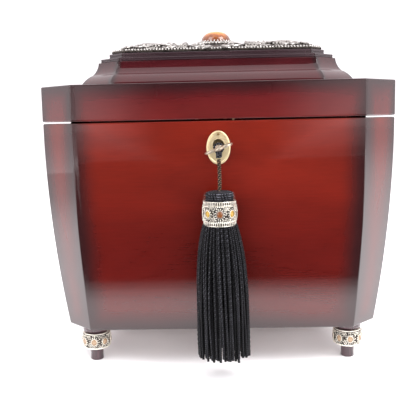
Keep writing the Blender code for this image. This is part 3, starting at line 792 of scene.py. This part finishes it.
def make_plates(lacquer):
    """The two thin plates over the cove, each with a fine groove round its edge."""
    for name in ("lower_plate", "upper_plate"):
        low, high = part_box(name)
        inset = HALF_WIDTH - high.x
        groove = low.z + (high.z - low.z) * 0.45
        line = shifted([(9, 0), (0, 0)], inset, low.z)
        line += shifted([(0, -0.25), (0.35, 0), (0, 0.25)], inset, groove)
        line += shifted([(0, 0), (9, 0)], inset, high.z)
        label = name + "_moulding"
        mesh = octagon_loft(label, rounded(line, 0.7 * MM), tier_leg, arris=0.7 * MM)
        even_normals(piece(label, mesh, "lid", lacquer, [name]))


# ---- cast ornament and stone


def ornament_height(x, y):
    """The cast base's height at this place, measured from the case's middle."""
    inset = min(HALF_WIDTH - abs(x), HALF_DEPTH - abs(y))
    for (near, low), (far, high) in zip(ORNAMENT_STEPS, ORNAMENT_STEPS[1:]):
        if inset < far:
            return low + (high - low) * max(0.0, inset - near) / (far - near)
    return ORNAMENT_HIGH


def on_ornament(x, y, lift):
    return Vector((x, y + CASE_Y, ornament_height(x, y) + lift))


def add_scroll(bm, centre, size, start, winding, sign, rod):
    """A spiral scroll that ends in a boss, its rod thinning inwards."""
    count = 34
    path = []
    for i in range(count):
        t = i / (count - 1)
        reach = size * (1 - 0.82 * t)
        angle = start + sign * winding * math.tau * t
        x, y = centre[0] + reach * math.cos(angle), centre[1] + reach * math.sin(angle)
        path.append(on_ornament(x, y, rod * 0.7 + 0.8 * MM * math.sin(math.pi * t)))
    tube(bm, path, lambda share: rod * (1.05 - 0.5 * share), sides=7)
    bead(bm, on_ornament(*centre, 0.8 * MM), rod * 1.5, (1, 1, 0.9))


def add_leaf(bm, root, direction, length, width):
    """A pointed leaf of a central rib and two rows of lobes."""
    along = Vector((math.cos(direction), math.sin(direction)))
    across = Vector((-along.y, along.x))
    for i in range(5):
        share = (i + 0.6) / 5
        reach = width * math.sin(math.pi * (0.25 + 0.7 * share)) * 0.5
        for sign in (-1, 1):
            spot = Vector(root) + along * length * share + across * reach * sign
            tip = on_ornament(spot.x, spot.y, 0.7 * MM)
            turn = Matrix.Translation(tip) @ Matrix.Rotation(direction + sign * 0.9, 4, "Z")
            bead(bm, (0, 0, 0), width * 0.20, (1.7, 0.75, 0.8), turn)
    spine = [Vector(root) + along * length * t / 6 for t in range(7)]
    rib = [on_ornament(p.x, p.y, 1.4 * MM) for p in spine]
    tube(bm, rib, lambda share: width * 0.10 * (1.2 - share), sides=6)


# One quarter of the ornament, in millimetres from its middle.
SCROLLS = (  # x, y, size, start angle, windings, way, rod
    (35, 21, 12.5, 0.4, 1.5, 1, 1.35), (58, 13, 10.5, 2.6, 1.4, -1, 1.3),
    (60, 34, 9.0, -1.2, 1.4, 1, 1.15), (14, 36, 8.5, 2.9, 1.4, -1, 1.1),
    (77, 29, 7.0, 1.6, 1.3, 1, 1.0), (77, 9, 7.0, -0.6, 1.3, -1, 1.0),
    (38, 40, 6.0, 0.0, 1.3, 1, 1.0),
)
LEAVES = (  # x, y, direction, length, width
    (24, 30, 0.75, 15, 7), (47, 28, 0.2, 14, 6.5), (46, 6, 0.15, 13, 6.5),
    (68, 20, 0.5, 12, 6), (24, 43, 0.05, 9, 5), (48, 42, 0.1, 10, 5), (4, 42, 0.9, 8, 5),
)


def make_ornament(bright, patina):
    line = [(70 * MM, ORNAMENT_LOW), (ORNAMENT_STEPS[0][0], ORNAMENT_LOW)]
    line += [*ORNAMENT_STEPS, (90 * MM, ORNAMENT_HIGH)]
    mesh = octagon_loft("ornament_base", rounded(line, 1.2 * MM), tier_leg, arris=0.6 * MM)
    even_normals(piece("ornament_base", mesh, "lid", patina, ["ornament_plate"]))
    bm = bmesh.new()
    corners = plan_corners(53.9 * MM, tier_leg)
    for i, corner in enumerate(corners):
        start = corners[i - 1]
        count = max(2, round((corner - start).length / (2.5 * MM)))
        for j in range(count):
            spot = start.lerp(corner, j / count)
            bead(bm, (spot.x, spot.y + CASE_Y, ORNAMENT_LOW + 2.3 * MM), 1.05 * MM)
    for sx, sy in ((-1, -1), (-1, 1), (1, -1), (1, 1)):
        for x, y, size, start, winding, way, rod in SCROLLS:
            begin = (start if sx > 0 else math.pi - start) * sy
            centre = (sx * x * MM, sy * y * MM)
            add_scroll(bm, centre, size * MM, begin, winding, way * sx * sy, rod * MM)
        for x, y, direction, length, width in LEAVES:
            heading = math.atan2(sy * math.sin(direction), sx * math.cos(direction))
            add_leaf(bm, (sx * x * MM, sy * y * MM), heading, length * MM, width * MM)
    piece("ornament_relief", bm, "lid", bright)


def make_setting(bright, patina, amber):
    """A flange that rises to the stone's cup, and three rings of beads on it."""
    low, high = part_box("stone_setting")
    radius = high.x
    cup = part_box("stone")[1].x
    rim = high.z - 1.2 * MM
    floor_z = high.z - 2 * MM
    flange = [(0.1 * MM, low.z)]
    flange += shifted([(-0.5, 0), (0, 0.4), (-0.3, 1.1)], radius, low.z)
    flange.append((cup + 2.6 * MM, low.z + 2.0 * MM))
    flange += shifted([(1.6, -1.2), (1.1, 0), (0.5, 0), (0.3, -0.5)], cup, rim)
    flange += [(cup + 0.3 * MM, floor_z), (0.1 * MM, floor_z)]
    middle = Matrix.Translation((0, CASE_Y, 0))
    bm = bmesh.new()
    lathe(bm, flange, 72, middle)
    piece("setting_cup", bm, "lid", patina, ["stone_setting"])
    bm = bmesh.new()
    for count, reach, z, size, stretch in (
        (44, radius - 1.3 * MM, low.z + 1.3 * MM, 1.35 * MM, (1, 1, 1)),
        (34, cup + 4.1 * MM, low.z + 2.5 * MM, 1.15 * MM, (1, 1, 1)),
        (30, cup + 0.7 * MM, rim - 0.1 * MM, 0.85 * MM, (0.8, 0.8, 1.7)),
    ):
        for angle in turns(count):
            bead(bm, (reach, 0, z), size, stretch, middle @ Matrix.Rotation(angle, 4, "Z"), detail=2)
    piece("setting_beads", bm, "lid", bright)
    low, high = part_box("stone")
    bm = bmesh.new()
    edge_z = low.z + 0.4 * MM
    dome = [(0.05 * MM, low.z), (high.x - 0.2 * MM, low.z), (high.x, edge_z)]
    for i in range(1, 15):
        angle = math.pi / 2 * i / 15
        rise = (high.z - low.z - 0.4 * MM) * math.sin(angle) ** 0.95
        dome.append((high.x * math.cos(angle) ** 0.85, edge_z + rise))
    dome.append((0.05 * MM, high.z))
    lathe(bm, dome, 64, middle)
    piece("cabochon", bm, "lid", amber, ["stone"])


# ---- jewelled collars

COLLAR_STONES = 8
COLLAR_TURN = -math.pi / 2  # a set stone faces the front


def drum_place(centre, angle, radius, z):
    """Axes on a drum: X along its side, Y up, Z outwards."""
    outward = Vector((math.cos(angle), math.sin(angle), 0))
    along = Vector((-outward.y, outward.x, 0))
    matrix = Matrix((along, Vector((0, 0, 1)), outward)).transposed().to_4x4()
    matrix.translation = Vector((centre[0], centre[1], z)) + outward * radius
    return matrix


def oval(width, height, count, lift=0.0):
    return [Vector((width * math.cos(a), height * math.sin(a), lift)) for a in turns(count)]


def add_motif(bm, place, width, height):
    """An oval bezel in a ring of beads."""
    tube(bm, [place @ p for p in oval(width, height, 20, 0.4 * MM)], 0.3 * MM, sides=6, closed=True)
    for p in oval(width + 1.0 * MM, height + 1.0 * MM, 13, 0.3 * MM):
        bead(bm, p, 0.5 * MM, matrix=place)


def add_lace(bm, centre, radius, low, high, frame_width, frame_height):
    """Rows of small uneven beads round the drum, with gaps, clear of the stones' frames."""
    chance = random.Random(3)
    count = round(math.tau * radius / (1.35 * MM))
    rows = round((high - low) / (1.2 * MM))
    for row in range(rows):
        z = low + (high - low) * (row + 0.5) / rows
        up = z - (low + high) / 2
        for i in range(count):
            angle = math.tau * (i + 0.5 * (row % 2)) / count
            across = math.remainder(angle - COLLAR_TURN, math.tau / COLLAR_STONES) * radius
            outside = (across / frame_width) ** 2 + (up / frame_height) ** 2 > 1
            if outside and chance.random() < 0.9:
                place = drum_place(centre, angle, radius, z)
                bead(bm, (0, 0, 0), chance.uniform(0.45, 0.72) * MM, (1, 1, 0.9), place)


def add_bars(bm, centre, radius, low, high, count):
    """A band of upright bars."""
    width = 0.30 if high - low > 2 * MM else 0.5
    for angle in turns(count):
        place = drum_place(centre, angle, radius, (low + high) / 2)
        bead(bm, (0, 0, 0), (high - low) / 2, (width, 1, 0.35), place, detail=2)


def make_collar(name, centre, ring, belly, low, high, body, replaced, finishes, bars=0):
    """A cast collar: a dark core, a band of bars or a plain one at each end, and set stones in
    lace between them. ring is the bands' radius and belly the middle's."""
    bright, patina, stones = finishes
    inner, lip, waist = belly * 0.72, ring - 0.5 * MM, belly - 1.1 * MM
    bottom, middle, top = low + 0.2 * MM, (low + high) / 2, high - 0.2 * MM
    axis = Matrix.Translation((centre[0], centre[1], 0))
    tall = high - low
    band = (0.17 if bars else 0.07) * tall
    core = [(inner, bottom), (lip, bottom), (waist, middle - 0.16 * tall)]
    core += [(waist, middle + 0.16 * tall), (lip, top), (inner, top)]
    bm = bmesh.new()
    lathe(bm, rounded(core, 1.0 * MM), 48, axis)
    piece(name + "_core", bm, body, patina, replaced)
    bm = bmesh.new()
    for base in (low, high - band):
        if bars:
            add_bars(bm, centre, ring - 0.1 * MM, base + 0.2 * MM, base + band - 0.2 * MM, bars)
            for z in (base + 0.25 * MM, base + band - 0.25 * MM):
                hoop = oval(ring + 0.15 * MM, ring + 0.15 * MM, 64, z)
                tube(bm, [p + axis.translation for p in hoop], 0.28 * MM, 6, closed=True)
        else:
            hoop = [(inner, base), (ring, base), (ring, base + band), (inner, base + band)]
            lathe(bm, rounded(hoop, 0.2 * MM), 48, axis)
    height = min(0.5 * (tall - 2 * band) - 1.7 * MM, 2.9 * MM)
    width = min(height, 2.5 * MM)
    reach = belly - 0.95 * MM
    spots = [COLLAR_TURN + turn for turn in turns(COLLAR_STONES)]
    for angle in spots:
        add_motif(bm, drum_place(centre, angle, reach, middle), width, height)
    add_lace(bm, centre, reach, low + band, high - band, width + 1.75 * MM, height + 1.75 * MM)
    piece(name, bm, body, bright)
    shape = (width - 0.1 * MM, height - 0.1 * MM, 1.15 * MM)
    for turn, stone in enumerate(stones):
        bm = bmesh.new()
        for angle in spots[turn :: len(stones)]:
            bead(bm, (0, 0, 0), 1.0, shape, drum_place(centre, angle, belly - 1.05 * MM, middle), detail=2)
        piece(f"{name}_jewels_{turn}", bm, body, stone)


def make_foot(name, wood, finishes):
    """A turned foot, from the peg up past its collar to the disc, and the collar."""
    low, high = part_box("foot_" + name)
    centre = (low + high) / 2
    disc = (high.x - low.x) / 2
    collar_low, collar_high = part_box("foot_collar_" + name)
    bottom, top = collar_low.z, collar_high.z
    waist, peg = disc - 2.9 * MM, disc - 5.5 * MM
    profile = [(0.1 * MM, 0.0)]
    profile += shifted([(-0.5, 0), (0.1, 0.5), (-0.1, 3.6)], peg, 0)
    profile += shifted([(0.1, -2.4), (1.6, -0.5)], peg, bottom)
    profile += [(waist, bottom + MM), (waist, top + 0.2 * MM)]
    profile += shifted([(-1.5, 0.5), (-0.1, 2.2)], disc, top)
    profile += shifted([(0, -1.8), (-0.7, -0.6), (-1.2, 0)], disc, high.z)
    profile.append((0.1 * MM, high.z))
    bm = bmesh.new()
    lathe(bm, rounded(profile, 0.8 * MM), 48, Matrix.Translation((centre.x, centre.y, 0)))
    piece("turned_foot_" + name, bm, "case", wood, ["foot_" + name])
    belly = (collar_high.x - collar_low.x) / 2
    replaced = ["foot_collar_" + name]
    make_collar("foot_band_" + name, centre, disc - 0.2 * MM, belly, bottom, top, "case", replaced, finishes)


# ---- lock, key and hinges


def soften(name, material, width=0.12 * MM):
    """Broken edges and a finish for a CAD node whose shape stays."""
    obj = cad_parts[name]
    obj.data.materials.clear()
    obj.data.materials.append(material)
    obj.modifiers.new("Weld", "WELD").merge_threshold = 1e-6
    add_bevel(obj, width, 2, 40)
    obj.data.shade_smooth()
    even_normals(obj)


def make_escutcheon(brass):
    low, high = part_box("escutcheon")
    half_x, half_z = (high.x - low.x) / 2, (high.z - low.z) / 2
    middle_z = (high.z + low.z) / 2
    thick = high.y - low.y
    # (millimetres in from the edge, share of the thickness) from the back's edge to the hole
    section = [(3.0, 0.0), (0.0, 0.0), (0.0, 0.62), (0.45, 0.9)]
    section += [(1.15, 1.0), (1.5, 0.8), (1.9, 0.74), (3.0, 0.78)]
    bm = bmesh.new()
    rings = []
    for inset, share in rounded(section, 0.12, 2):
        ring = []
        for angle in turns(72):
            x = (half_x - inset * MM) * math.cos(angle)
            z = middle_z + (half_z - inset * MM) * math.sin(angle)
            ring.append(bm.verts.new((x, high.y - thick * share, z)))
        rings.append(ring)
    join_rings(bm, rings)
    hole = prism_cutter(keyhole_outline(), low.y - MM, high.y + MM)
    mesh = cut(mesh_from(bm, "escutcheon"), [hole])
    even_normals(piece("escutcheon_oval", mesh, "case", brass, ["escutcheon"]))


def make_key(steel):
    """The key in its own axes: shank along Y, bow and bit in the X-Y plane, then turned."""
    axis = Matrix.Translation((0, 0, KEY_Z)) @ Matrix.Rotation(-KEY_TURN, 4, "Y")
    tip, bow_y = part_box("key")[1].y, CASE_Y - 122 * MM
    shank, collar_y = 1.9 * MM, CASE_Y - 109 * MM
    along = axis @ Matrix(((1, 0, 0, 0), (0, 0, -1, 0), (0, 1, 0, 0), (0, 0, 0, 1)))
    profile = [(0.1 * MM, -tip), (shank - 0.3 * MM, -tip), (shank, 0.4 * MM - tip)]
    rings = [(0, -2.0), (0.5, -1.6), (0, -1.2), (1.3, -0.6), (1.3, 0.4), (0, 1.0)]
    end = [(0, 7.2), (0.6, 7.6), (-0.4, 9.4)]
    profile += shifted(rings + end, shank, -collar_y)
    profile.append((0.1 * MM, 9.6 * MM - collar_y))
    bm = bmesh.new()
    lathe(bm, profile, 32, along)
    for x, y, radius in ((-5.3, 0.0, 4.5), (5.3, 0.0, 4.5), (0.0, -4.4, 3.1)):
        centre = axis @ Vector((x * MM, bow_y + y * MM, 0))
        loop = [centre + axis.to_3x3() @ p for p in oval(radius * MM, radius * MM, 32)]
        tube(bm, loop, 1.0 * MM, sides=12, closed=True)
    bit = box_cutter((-7.0 * MM, CASE_Y - 87.6 * MM, -MM), (0, CASE_Y - 83.6 * MM, MM))
    bit.transform(axis)
    bm.from_mesh(bit)
    add_bevel(piece("cast_key", bm, "key", steel, ["key"]), 0.2 * MM, 2, 50)


def add_screw(bm, place, radius):
    """A countersunk screw's head with its slot, facing the matrix's Z."""
    for sign in (-1, 1):
        arc = [math.pi * i / 12 for i in range(13)]
        half = [(radius * math.cos(a), radius * 0.16 + radius * 0.84 * math.sin(a)) for a in arc]
        rings = []
        for height, grow in ((-0.5 * MM, 0.96), (0.0, 1.0), (0.12 * MM, 0.9)):
            spots = [Vector((x * grow, sign * y * grow, height)) for x, y in half]
            rings.append([bm.verts.new(place @ spot) for spot in spots])
        join_rings(bm, rings)
    hub, reach, bottom, top = 0.05 * MM, radius * 0.9, -0.6 * MM, -0.35 * MM
    lathe(bm, [(hub, bottom), (reach, bottom), (reach, top), (hub, top)], 16, place)


def make_screws(brass):
    """Screws in the hinges' leaves, the lock's plate and the strike."""
    up = Matrix()
    down = Matrix.Rotation(math.pi, 4, "X")
    inward = Matrix.Rotation(-math.pi / 2, 4, "X")
    low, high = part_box("lock_plate")
    spots = {"case": [], "lid": []}
    for side in SIDES:
        leaf_low, leaf_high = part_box(f"body_leaf_{side}")
        middle = (leaf_low.x + leaf_high.x) / 2
        for x in (-10 * MM, 0, 10 * MM):
            y = leaf_low.y + (5 if x else 9) * MM
            spots["case"].append((Vector((middle + x, y, high.z)), up))
            spots["lid"].append((Vector((middle + x, y, LID_LOW)), down))
    for x in (low.x + 4 * MM, high.x - 4 * MM):
        for z in (low.z + 4 * MM, high.z - 7 * MM):
            spots["case"].append((Vector((x, high.y, z)), inward))
    low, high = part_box("strike_plate")
    for x in (low.x + 4 * MM, high.x - 14 * MM):
        spots["lid"].append((Vector((x, (low.y + high.y) / 2, LID_LOW)), down))
    for body, places in spots.items():
        bm = bmesh.new()
        for number, (place, facing) in enumerate(places):
            turn = Matrix.Rotation(0.7 * number, 4, "Z")
            add_screw(bm, Matrix.Translation(place) @ facing @ turn, 1.7 * MM)
        piece(f"screws_{body}", bm, body, brass)


# ---- felt lining


def felt_sheet(name, low, high, thin, material, replaced, cutters=()):
    """A glued felt panel: soft rounded edges and a slightly uneven face. thin is its thin axis."""
    size = high - low
    wide, tall = [axis for axis in range(3) if axis != thin]
    nx, ny = [max(2, round(size[axis] / (6 * MM))) for axis in (wide, tall)]
    bm = bmesh.new()
    bmesh.ops.create_grid(bm, x_segments=nx, y_segments=ny, size=0.5)
    bmesh.ops.solidify(bm, geom=bm.faces[:], thickness=1.0)
    heights = [v.co.z for v in bm.verts]
    bottom, top = min(heights), max(heights)
    for vert in bm.verts:
        u, v = vert.co.x + 0.5, vert.co.y + 0.5
        w = (vert.co.z - bottom) / (top - bottom)
        place = Vector((0, 0, 0))
        place[wide], place[tall] = low[wide] + u * size[wide], low[tall] + v * size[tall]
        place[thin] = low[thin] + size[thin] * w
        swell = noise.noise(place * 60) * 0.12 * MM
        place[thin] += swell if 0.1 < min(u, v, 1 - u, 1 - v) else 0
        vert.co = place
    mesh = mesh_from(bm, name, sharp=math.radians(60))
    if cutters:
        mesh = cut(mesh, cutters)
    add_bevel(piece(name, mesh, "case", material, replaced), 0.6 * MM, 3, 60)


def make_linings(material):
    for side, thin in (("left", 0), ("right", 0), ("back", 1), ("front", 1)):
        low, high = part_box(f"lining_{side}")
        cutters = []
        if side == "front":
            plate_low, plate_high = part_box("lock_plate")
            notch_low = (plate_low.x - MM, low.y - MM, plate_low.z - MM)
            cutters.append(box_cutter(notch_low, (plate_high.x + MM, high.y + MM, high.z + MM)))
        felt_sheet(f"felt_{side}", low, high, thin, material, [f"lining_{side}"], cutters)
    for name, body in (("lining_floor", "case"), ("lid_lining", "lid")):
        low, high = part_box(name)
        inset = HALF_WIDTH - high.x
        line = [(inset + 40 * MM, low.z), (inset, low.z), (inset, high.z), (inset + 40 * MM, high.z)]
        rows = spread(rounded(line, 0.7 * MM), 9 * MM)
        mesh = octagon_loft(name + "_felt", rows, body_leg, arris=MM)
        piece(name + "_felt", mesh, body, material, [name])


# ---- tassel


def strand_mesh():
    """An empty mesh with a layer for the plies' ridges and one for the place along a strand."""
    bm = bmesh.new()
    return bm, (bm.verts.layers.float.new("lobe"), bm.loops.layers.uv.new("strand"))


def make_loop(black):
    """The cord's loop round the key's shank, and the knot that closes it."""
    low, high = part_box("cord_loop")
    reach = (high.x - low.x) / 2 - 0.9 * MM
    bm, layers = strand_mesh()
    ring = [Vector((p.x, TASSEL_Y, KEY_Z + p.y)) for p in oval(reach, reach, 60)]
    tube(bm, ring, 0.95 * MM, 12, 2, 0.4, math.tau * reach / 5, True, layers)
    knot_z = low.z + 2.6 * MM
    path = []
    for a in turns(120):
        wide = 1.0 + 0.5 * math.cos(3 * a)
        x, y = 1.2 * MM * wide * math.cos(2 * a), 1.05 * MM * wide * math.sin(2 * a)
        path.append(Vector((x, TASSEL_Y + y, knot_z + 1.6 * MM * math.sin(3 * a))))
    tube(bm, path, 0.95 * MM, 10, 2, 0.35, 4 * MM, True, layers)
    piece("loop_and_knot", bm, "cord_loop", black, ["cord_loop"])


def make_cord(brown):
    low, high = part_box("tassel_cord")
    count = 46
    route = []
    for i in range(count):
        share = i / (count - 1)
        bow = 0.35 * MM * math.sin(math.pi * share)
        route.append(Vector((bow, TASSEL_Y, high.z + (low.z - high.z) * share)))
    bm, layers = strand_mesh()
    tube(bm, route, 1.5 * MM, 18, 3, 0.3, 9 * MM, False, layers)
    obj = piece("twisted_cord", bm, "tassel", brown, ["tassel_cord"])


def head_thread(share):
    """The thickness of the head's threads, thinner where they meet at the top."""
    return (0.45 + 0.5 * min(1, 2.2 * share)) * MM


def make_head(black):
    """The head: threads laid over a round core, close together, and tied in under the collar."""
    low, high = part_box("tassel_head")
    collar_low, collar_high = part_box("tassel_collar")
    radius = (high.x - low.x) / 2
    bm, layers = strand_mesh()
    for i, angle in enumerate(turns(44)):
        path = []
        for t in range(19):
            share = t / 18
            bend = math.pi / 2 * min(1.0, share * 1.6)
            reach = 1.9 * MM + (radius - 2.7 * MM) * math.sin(bend) ** 0.8
            z = high.z - 0.8 * MM - 2.0 * MM * (1 - math.cos(bend)) - max(0, share - 0.62) * 22 * MM
            turn = angle + 0.10 * math.sin(3 * share + i)
            path.append((reach * math.cos(turn), TASSEL_Y + reach * math.sin(turn), z))
        tube(bm, path, head_thread, 7, 2, 0.25, 3 * MM, False, layers)
    core = [(0.1 * MM, collar_low.z), (radius - 2.4 * MM, collar_low.z)]
    core.append((radius - 1.8 * MM, collar_high.z + MM))
    core += shifted([(-2.2, -2.6), (-5.2, -1.1)], radius, high.z)
    core.append((0.1 * MM, high.z - 0.9 * MM))
    lathe(bm, core, 40, Matrix.Translation((0, TASSEL_Y, 0)))
    piece("wound_head", bm, "tassel", black, ["tassel_head"])


# The skirt's rows from the outside in: threads, distance in, thickness, lightness (painted shade: inner rows
# painted darker)
SKIRT_ROWS = ((42, 0.0, 1.05 * MM, 1.0), (40, 2.3 * MM, 1.1 * MM, 0.4), (22, 5.4 * MM, 1.3 * MM, 0.2))


def make_skirt(black):
    """The skirt: rows of twisted threads with uneven ends, flattened a little front to back."""
    low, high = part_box("tassel_skirt")
    widest = (high.x - low.x) / 2 + MM
    top_reach, top_z, lean = 12.0 * MM, high.z + 0.8 * MM, 2 * MM
    chance = random.Random(7)
    bm, layers = strand_mesh()
    steps = 58
    for count, inward, thick, painted_light in SKIRT_ROWS:
        for i in range(count):
            angle = math.tau * (i + chance.uniform(-0.3, 0.3)) / count
            end = low.z + chance.uniform(-2.0, 2.2) * MM
            phase, sway = chance.uniform(0, math.tau), chance.uniform(0.2, 1.1) * MM
            drift = chance.uniform(-0.08, 0.08)
            outward = Vector((math.cos(angle), math.sin(angle), 0))
            light = painted_light * chance.uniform(0.55, 1.0)
            path = []
            for t in range(steps):
                share = t / (steps - 1)
                swell = 1 - (1 - share) ** 4.5
                reach = top_reach + (widest - thick - top_reach) * swell
                reach -= inward * (0.55 + 0.45 * share)
                reach += sway * 0.6 * math.sin(phase + 7 * share) * share
                turn = angle + drift * share + sway / widest * math.sin(2 * phase + 5 * share) * share
                place = Vector((lean * share, TASSEL_Y, top_z + (end - high.z - 0.8 * MM) * share))
                path.append(place + reach * Vector((math.cos(turn), 0.86 * math.sin(turn), 0)))
            pitch = chance.uniform(6.4, 7.6) * MM
            # Painted shade: each thread is painted darker on inner rows and on the side turned away from the
            # outside.
            tube(bm, path, thick, 8, 2, 0.3, pitch, False, layers, 2 * phase,
                 lambda away: light * max(0.0, away.dot(outward)) ** 1.5)
    piece("thread_skirt", bm, "tassel", black, ["tassel_skirt"])


# ---- the caddy

make_camera()
make_lights()
make_set()

lacquer = lacquered_wood(
    "lacquered_mahogany", (0.104, 0.0066, 0.0022), (0.058, 0.0035, 0.0014), 19 * MM, 0.08, 0.2
)
lid_lacquer = lacquered_wood(
    "lacquered_mahogany_lid", (0.078, 0.0062, 0.0058), (0.044, 0.0038, 0.0036), 14 * MM, LID_HIGH, LID_LOW
)
cove_lacquer = lacquered_wood(
    "lacquered_mahogany_cove", (0.045, 0.0045, 0.0055), (0.022, 0.003, 0.004), 5 * MM, 0.28, 0.2
)
plate_lacquer = lacquered_wood(
    "lacquered_edge", (0.030, 0.015, 0.018), (0.016, 0.009, 0.011), MM, 0.0, 0.3
)
foot_wood = turned_wood("turned_foot_wood")
inner_wood = bare_wood("inner_wood")
silver = metal("antique_silver_bright", (0.62, 0.60, 0.57), (0.12, 0.10, 0.09), 0.26, 0.16)
patina = metal("antique_silver_patina", (0.10, 0.085, 0.075), (0.02, 0.017, 0.015), 0.45, 0.2)
cream = metal("cream_silver", (1.0, 0.96, 0.86), (0.55, 0.46, 0.34), 0.34, 0.03)
brass = metal("pale_brass", (0.95, 0.80, 0.50), (0.55, 0.38, 0.16), 0.42, 0.05)
# Brass painted dark as shade, so the hinges read dark through the gap under the lid; its tarnish patches are
# the metal's own.
tarnish_and_shade_brass = metal("tarnished_brass_painted_shade", (0.30, 0.21, 0.10), (0.07, 0.045, 0.02), 0.40, 0.15)
gilt_steel = metal("worn_nickel", (0.62, 0.54, 0.42), (0.26, 0.20, 0.14), 0.28, 0.12)
dark_steel = metal("lock_steel", (0.34, 0.33, 0.32), (0.10, 0.08, 0.07), 0.38, 0.15)
black_felt = felt("black_felt")
black_thread = thread("black_thread", (0.0006, 0.0006, 0.0009), (0.15, 0.15, 0.18))
brown_thread = thread("brown_thread", (0.005, 0.003, 0.0025), (0.30, 0.20, 0.13))
amber = stone_material("amber_stone", (0.50, 0.17, 0.03), (0.12, 0.035, 0.015), 13.0 * MM, 0.1)
topaz = stone_material("topaz", (0.52, 0.36, 0.04), (0.3, 0.18, 0.02), 60 * MM, 0.2)
brown_amber = stone_material("brown_amber", (0.20, 0.075, 0.02), (0.12, 0.04, 0.012), 60 * MM, 0.2)
champagne = stone_material("champagne", (0.42, 0.31, 0.19), (0.3, 0.2, 0.12), 60 * MM, 0.2)

make_body(lacquer)
make_lid(lid_lacquer)
make_cove(cove_lacquer)
make_plates(plate_lacquer)
make_ornament(silver, patina)
make_setting(silver, patina, amber)
for foot in ("front_left", "front_right", "back_left", "back_right"):
    make_foot(foot, foot_wood, (cream, patina, [champagne]))
make_escutcheon(brass)
make_key(gilt_steel)
make_screws(brass)
for name in ("floor_board", "divider"):
    soften(name, inner_wood, 0.6 * MM)
for name in ("lock_plate", "lock_bolt", "strike_plate"):
    soften(name, brass)
for name in ("escutcheon_pin_top", "escutcheon_pin_bottom"):
    soften(name, tarnish_and_shade_brass)
for side in SIDES:
    for name in ("body_leaf_", "lid_leaf_", "hinge_pin_"):
        soften(name + side, tarnish_and_shade_brass)
soften("lock_case", dark_steel, 0.15 * MM)
make_linings(black_felt)
make_loop(black_thread)
make_cord(brown_thread)
make_head(black_thread)
collar_low, collar_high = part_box("tassel_collar")
collar_belly = (collar_high.x - collar_low.x) / 2
tassel_finishes = (cream, patina, [brown_amber, topaz])
make_collar("tassel_band", (0, TASSEL_Y), 11.9 * MM, collar_belly, collar_low.z, collar_high.z,
            "tassel", ["tassel_collar"], tassel_finishes, bars=44)
make_skirt(black_thread)
